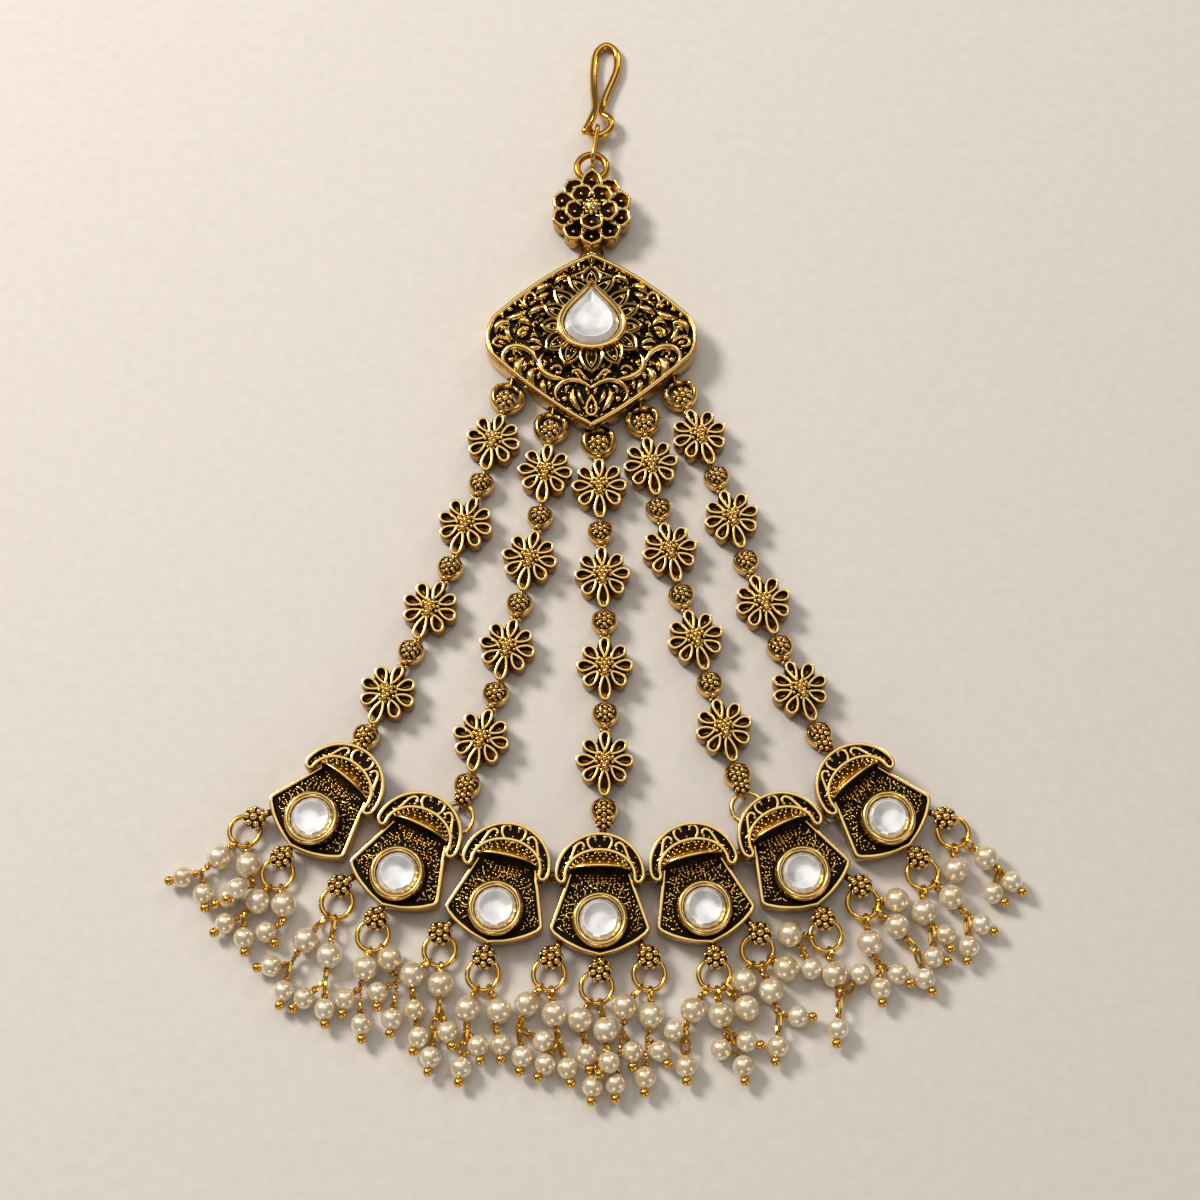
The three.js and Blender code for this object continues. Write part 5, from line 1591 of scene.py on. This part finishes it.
# %% Scrolls of the left half
# One row a stroke: how it is laid down, half its width, and its path.
SCROLL_ROWS = [
    # the ogee over the lotus, and leaves between it and the rim
    ("tail", 0.24, (-0.25, 10.6), (-1.0, 9.75), (-2.1, 9.3), (-3.4, 8.95)),
    ("leaf", 0.32, (-2.9, 9.15), (-3.9, 8.9), (-4.5, 8.5), (-4.85, 7.9)),
    ("leaf", 0.2, (-3.9, 8.1), (-3.4, 8.25), (-3.0, 8.0)),
    ("leaf", 0.46, (-7.3, 6.5), (-6.6, 7.3), (-5.35, 7.95)),
    ("leaf", 0.4, (-7.2, 5.5), (-6.3, 6.0), (-5.5, 6.6)),
    ("leaf", 0.4, (-8.3, 3.3), (-7.3, 3.9), (-6.0, 4.4)),
    ("leaf", 0.3, (-4.5, 9.3), (-4.1, 9.95), (-3.5, 10.15), (-3.05, 9.8)),
    ("leaf", 0.15, (-3.9, 9.5), (-3.4, 9.4)),
    ("leaf", 0.15, (-2.45, 10.9), (-2.35, 10.4), (-2.2, 10.0)),
    ("leaf", 0.14, (-2.85, 10.4), (-2.5, 10.3), (-2.25, 10.0)),
    ("wire", 0.16, (-1.2, 11.5), (-1.6, 11.4), (-1.75, 10.9), (-1.6, 10.4)),
    ("leaf", 0.13, (-1.15, 10.9), (-1.05, 10.5), (-1.2, 10.15)),
    ("leaf", 0.17, (-6.2, 8.9), (-5.9, 8.5)),
    ("leaf", 0.17, (-5.3, 9.1), (-5.1, 8.7)),
    ("leaf", 0.15, (-7.2, 8.2), (-6.9, 7.9), (-6.6, 8.0)),
    # the upper corner: two loops, a crescent leaf and a bud
    ("wire", 0.18, (-8.5, 4.3), (-8.85, 5.4), (-8.5, 6.4), (-7.9, 6.6), (-7.4, 6.1), (-7.3, 5.2)),
    ("leaf", 0.22, (-8.2, 4.75), (-7.75, 5.0), (-7.3, 5.35)),
    ("wire", 0.16, (-9.95, 4.75), (-10.0, 5.3), (-9.6, 5.65), (-9.2, 5.3), (-8.8, 4.5)),
    ("leaf", 0.18, (-9.75, 4.95), (-9.3, 4.7), (-8.95, 4.2)),
    ("leaf", 0.4, (-11.3, 2.95), (-10.3, 2.9), (-9.2, 3.3), (-8.4, 4.0)),
    ("wire", 0.22, (-11.6, 3.0), (-11.75, 3.8), (-11.3, 4.5), (-10.6, 4.75)),
    ("leaf", 0.3, (-11.2, 4.0), (-10.7, 4.2), (-10.2, 4.1)),
    # the side: comma leaves, a drop lying down and a small heart-shaped bud
    ("leaf", 0.38, (-12.55, 0.7), (-12.4, 1.6), (-11.8, 2.2), (-11.0, 2.25), (-10.6, 1.8)),
    ("leaf", 0.22, (-11.9, 1.0), (-11.5, 1.5), (-10.95, 1.6)),
    ("leaf", 0.32, (-10.6, 1.9), (-11.0, 1.1), (-10.8, 0.3), (-10.2, -0.35)),
    ("leaf", 0.36, (-9.7, 2.0), (-8.8, 2.35), (-7.9, 1.6)),
    ("leaf", 0.22, (-8.75, 3.0), (-8.7, 2.3)),
    ("wire", 0.22, (-9.5, 0.0), (-9.35, 0.8), (-8.7, 1.15), (-8.05, 0.95)),
    ("leaf", 0.3, (-9.15, -0.2), (-8.75, 0.35), (-8.2, 0.65)),
    ("wire", 0.16, (-7.35, 1.2), (-7.6, 1.6), (-7.3, 1.95), (-6.95, 1.7)),
    ("wire", 0.18, (-10.5, -0.7), (-11.2, -0.1), (-11.9, 0.15), (-12.6, -0.2), (-12.75, -0.8),
     (-12.2, -1.2), (-11.6, -1.2)),
    ("leaf", 0.22, (-12.3, -0.4), (-11.7, -0.65), (-11.1, -0.95)),
    ("leaf", 0.26, (-8.3, -0.9), (-7.6, -0.65), (-6.9, -0.9), (-6.35, -1.5)),
    ("leaf", 0.3, (-8.3, -1.6), (-7.4, -1.8), (-6.4, -1.6)),
    # the great scrolls of the lower half
    ("scroll", 0.36, (-6.95, -3.7), (-7.6, -2.5), (-8.5, -1.75), (-9.6, -1.35), (-10.7, -1.5),
     (-11.4, -2.25), (-11.45, -3.2), (-10.9, -3.75)),
    ("leaf", 0.38, (-6.15, -2.4), (-6.7, -3.4), (-6.6, -4.4), (-5.95, -5.25), (-4.8, -5.85),
     (-3.0, -6.2)),
    ("scroll", 0.29, (0.0, -7.4), (-1.2, -6.65), (-2.5, -6.3), (-3.7, -6.6), (-4.5, -7.4),
     (-4.6, -8.4), (-4.1, -9.05)),
    ("wire", 0.16, (-5.3, -4.85), (-4.8, -4.4), (-4.2, -4.4), (-3.75, -4.9)),
    ("leaf", 0.17, (-4.8, -5.1), (-4.2, -5.3), (-3.7, -5.1)),
    ("leaf", 0.17, (-2.3, -5.1), (-1.85, -5.6), (-1.4, -6.15)),
    ("leaf", 0.14, (-1.6, -5.0), (-1.35, -5.35)),
    # a second row of petals under the lotus
    ("wire", 0.2, (-2.6, -5.3), (-1.7, -5.0), (-1.15, -5.6), (-0.6, -6.35)),
    ("leaf", 0.2, (-6.9, -0.2), (-7.4, 0.2), (-8.0, -0.2)),
    ("leaf", 0.2, (-2.6, -7.0), (-3.2, -7.3), (-3.3, -8.0)),
    ("leaf", 0.17, (-0.9, -7.3), (-0.5, -7.8), (-0.35, -8.4)),
    # leaves that hang between the scrolls and the rim
    ("leaf", 0.5, (-8.7, -2.9), (-9.4, -3.6), (-9.5, -4.6), (-9.0, -5.5)),
    ("leaf", 0.26, (-8.55, -3.2), (-8.6, -4.1), (-8.75, -4.8)),
    ("leaf", 0.44, (-6.95, -4.4), (-7.7, -4.9), (-7.85, -5.8), (-7.4, -6.7)),
    ("leaf", 0.24, (-6.8, -4.9), (-6.8, -5.5), (-7.0, -6.0)),
    ("leaf", 0.34, (-6.1, -5.9), (-6.3, -6.8), (-5.9, -7.9)),
    ("leaf", 0.22, (-5.55, -6.0), (-5.4, -6.8), (-5.5, -7.4)),
    ("leaf", 0.36, (-2.3, -7.3), (-2.5, -8.4), (-2.1, -9.5), (-1.4, -10.5)),
    ("leaf", 0.22, (-1.7, -7.5), (-1.5, -8.5), (-1.0, -9.5)),
    ("leaf", 0.15, (-3.3, -9.8), (-2.9, -10.2), (-2.4, -10.4)),
    ("leaf", 0.12, (-3.6, -10.1), (-3.1, -10.5)),
    ("leaf", 0.13, (-9.9, -4.6), (-9.6, -5.2)),
    ("leaf", 0.11, (-7.9, -7.0), (-7.3, -7.2), (-6.7, -6.9)),
]
SCROLLS = [{"kind": kind, "half": half, "path": path} for kind, half, *path in SCROLL_ROWS]
# One bead each: its place and radius.
BEADS = [
    (-1.6, 10.2, 0.22), (-8.2, 5.9, 0.24), (-10.85, 4.3, 0.34), (-9.6, 0.4, 0.16),
    (-10.45, -3.1, 0.42), (-3.45, -8.7, 0.42), (0.0, -6.45, 0.2), (-0.5, -6.25, 0.17),
    (-0.5, -8.05, 0.16), (-8.2, -6.0, 0.14), (-9.0, 2.75, 0.18), (-7.9, 3.0, 0.16),
    (-5.2, -3.6, 0.2), (-4.7, -3.0, 0.15), (-12.2, -2.1, 0.15), (-12.4, -3.0, 0.13),
    (-9.8, -0.7, 0.16), (-10.9, -5.0, 0.14), (-6.5, -8.4, 0.14), (-4.9, -8.6, 0.17),
    (-5.2, -7.9, 0.16), (-1.2, -11.0, 0.15), (-3.4, -7.6, 0.16), (-2.9, -7.9, 0.14),
    (-3.8, -7.7, 0.12), (-7.1, -3.9, 0.15), (-9.7, 6.4, 0.13), (-8.0, 7.5, 0.13),
    (-10.9, 5.3, 0.13), (-12.2, 3.6, 0.12), (-12.9, 1.9, 0.12), (-2.0, 11.3, 0.12),
    (-0.9, 11.5, 0.12), (-5.9, -1.0, 0.15), (-7.6, 0.2, 0.16), (-7.0, 2.9, 0.14),
    (-4.1, 9.0, 0.14), (-11.9, -4.1, 0.12),
]
CARVED_WIDTH = 1.28
SCROLL_SEED = 11
TUFT_TRIES = 6000
TUFT_ROOM = 0.7
GRAINS_EACH_SIDE = 170
PROFILES["scroll"] = lambda s: 0.35 + 0.65 * np.sin(np.pi * np.clip(s * 1.05, 0, 1)) ** 0.6


def lotus_near(x, y):
    """Whether a spot is under the lotus or the setting."""
    return any(math.hypot(abs(x) + row["x"], y - row["y"]) < 0.9 for row in LOTUS) or (
        ((x / 5.9) ** 2 + ((y - 2.2) / 6.3) ** 2) < 1)


def medallion_scrollwork():
    casting = Casting()

    def level(x, y):
        return medal_ground(x, y) + 0.32

    for side in (1, -1):
        for row in SCROLLS:
            path = smooth_path([(side * x, y) for x, y in row["path"]], 6)
            half = row["half"] * CARVED_WIDTH
            stroke(casting, path, half, 0.3 + 0.55 * half, level, row["kind"], 12)
        for x, y, radius in BEADS:
            if side > 0 or x != 0:
                z = float(medal_ground(side * x, y)[0])
                ball(casting, side * x, y, z + 0.25, radius, 10, 7)
    drop = teardrop(0, 2.55, 0.66, 30) * (1, -1) + (0, -8.55)
    stroke(casting, drop[::-1], 0.25, 0.5, level, closed=True, sides=10)
    stroke(casting, smooth_path([(0, -9.5), (0, -10.1), (0, -10.7)], 5), 0.2, 0.3, level, "leaf")
    bud = teardrop(0, 1.55, 0.42, 22) + (0, 10.75)
    stroke(casting, bud, 0.15, 0.4, level, closed=True)
    stroke(casting, [(0, 11.2), (0, 11.6), (0, 12.0)], 0.12, 0.35, level, "leaf")
    chance = random.Random(SCROLL_SEED)
    taken = [point for row in SCROLLS for point in smooth_path(row["path"], 3)]
    taken += [(x, y) for x, y, _ in BEADS]
    taken = np.array([(x, y) for x, y in taken])
    tufts = 0
    for _ in range(TUFT_TRIES):
        x, y = chance.uniform(-12.6, -0.4), chance.uniform(-11.4, 11.2)
        if not 0.3 < float(share_out(x, y)[0]) < 0.9 or lotus_near(x, y):
            continue
        if np.hypot(*(taken - (x, y)).T).min() < TUFT_ROOM:
            continue
        taken = np.vstack((taken, (x, y)))
        lean = chance.uniform(0, 2 * math.pi)
        curl = chance.choice((-1, 1)) * chance.uniform(0.5, 1.1)
        reach = chance.uniform(0.36, 0.6)
        path = [(x + reach * t * math.cos(lean + curl * t),
                 y + reach * t * math.sin(lean + curl * t)) for t in (-1, -0.5, 0, 0.5, 1)]
        half = chance.uniform(0.2, 0.3)
        for side in (1, -1):
            mirrored = smooth_path([(side * px, py) for px, py in path], 2)
            stroke(casting, mirrored, half, half + 0.2, level, "leaf")
        tufts += 1
    print("tufts on each side:", tufts)
    placed = 0
    while placed < GRAINS_EACH_SIDE:
        x, y = chance.uniform(-12.6, 0), chance.uniform(-11.4, 11.4)
        if not 0.4 < float(share_out(x, y)[0]) < 0.93 or lotus_near(x, y):
            continue
        radius = chance.uniform(0.07, 0.13)
        for side in (1, -1):
            z = float(medal_ground(side * x, y)[0])
            ball(casting, side * x, y, z + 0.08, radius, 7, 4, 0.3)
        placed += 1
    make_piece("medallion_scrollwork", casting, ANTIQUE_GOLD, "medallion")


medallion_scrollwork()

# %% [markdown]
# ## The pear-shaped stone
# Its facets follow the outline: a ring of small flat ones by the setting, round a smooth shallow
# bowl. It's the same pressed glass on foil as the round stones, so it's built the same way.

# %% Pear stone
PEAR_FACETS = 22

picks = np.linspace(0, len(PEAR_OUTLINE), PEAR_FACETS, endpoint=False).astype(int)
pear = Casting()
cut_stone(pear, pear_ring(0.97)[picks], (0.0, 2.3), 5.0, 5.45, 0.4)
make_piece("pear_crystal", pear, CRYSTAL, "pear_stone", crisp=FACET_CRISP)

# %% Finish
largest = max(triangles_made, key=triangles_made.get)
print("triangles:", sum(triangles_made.values()), "largest:", largest, triangles_made[largest])
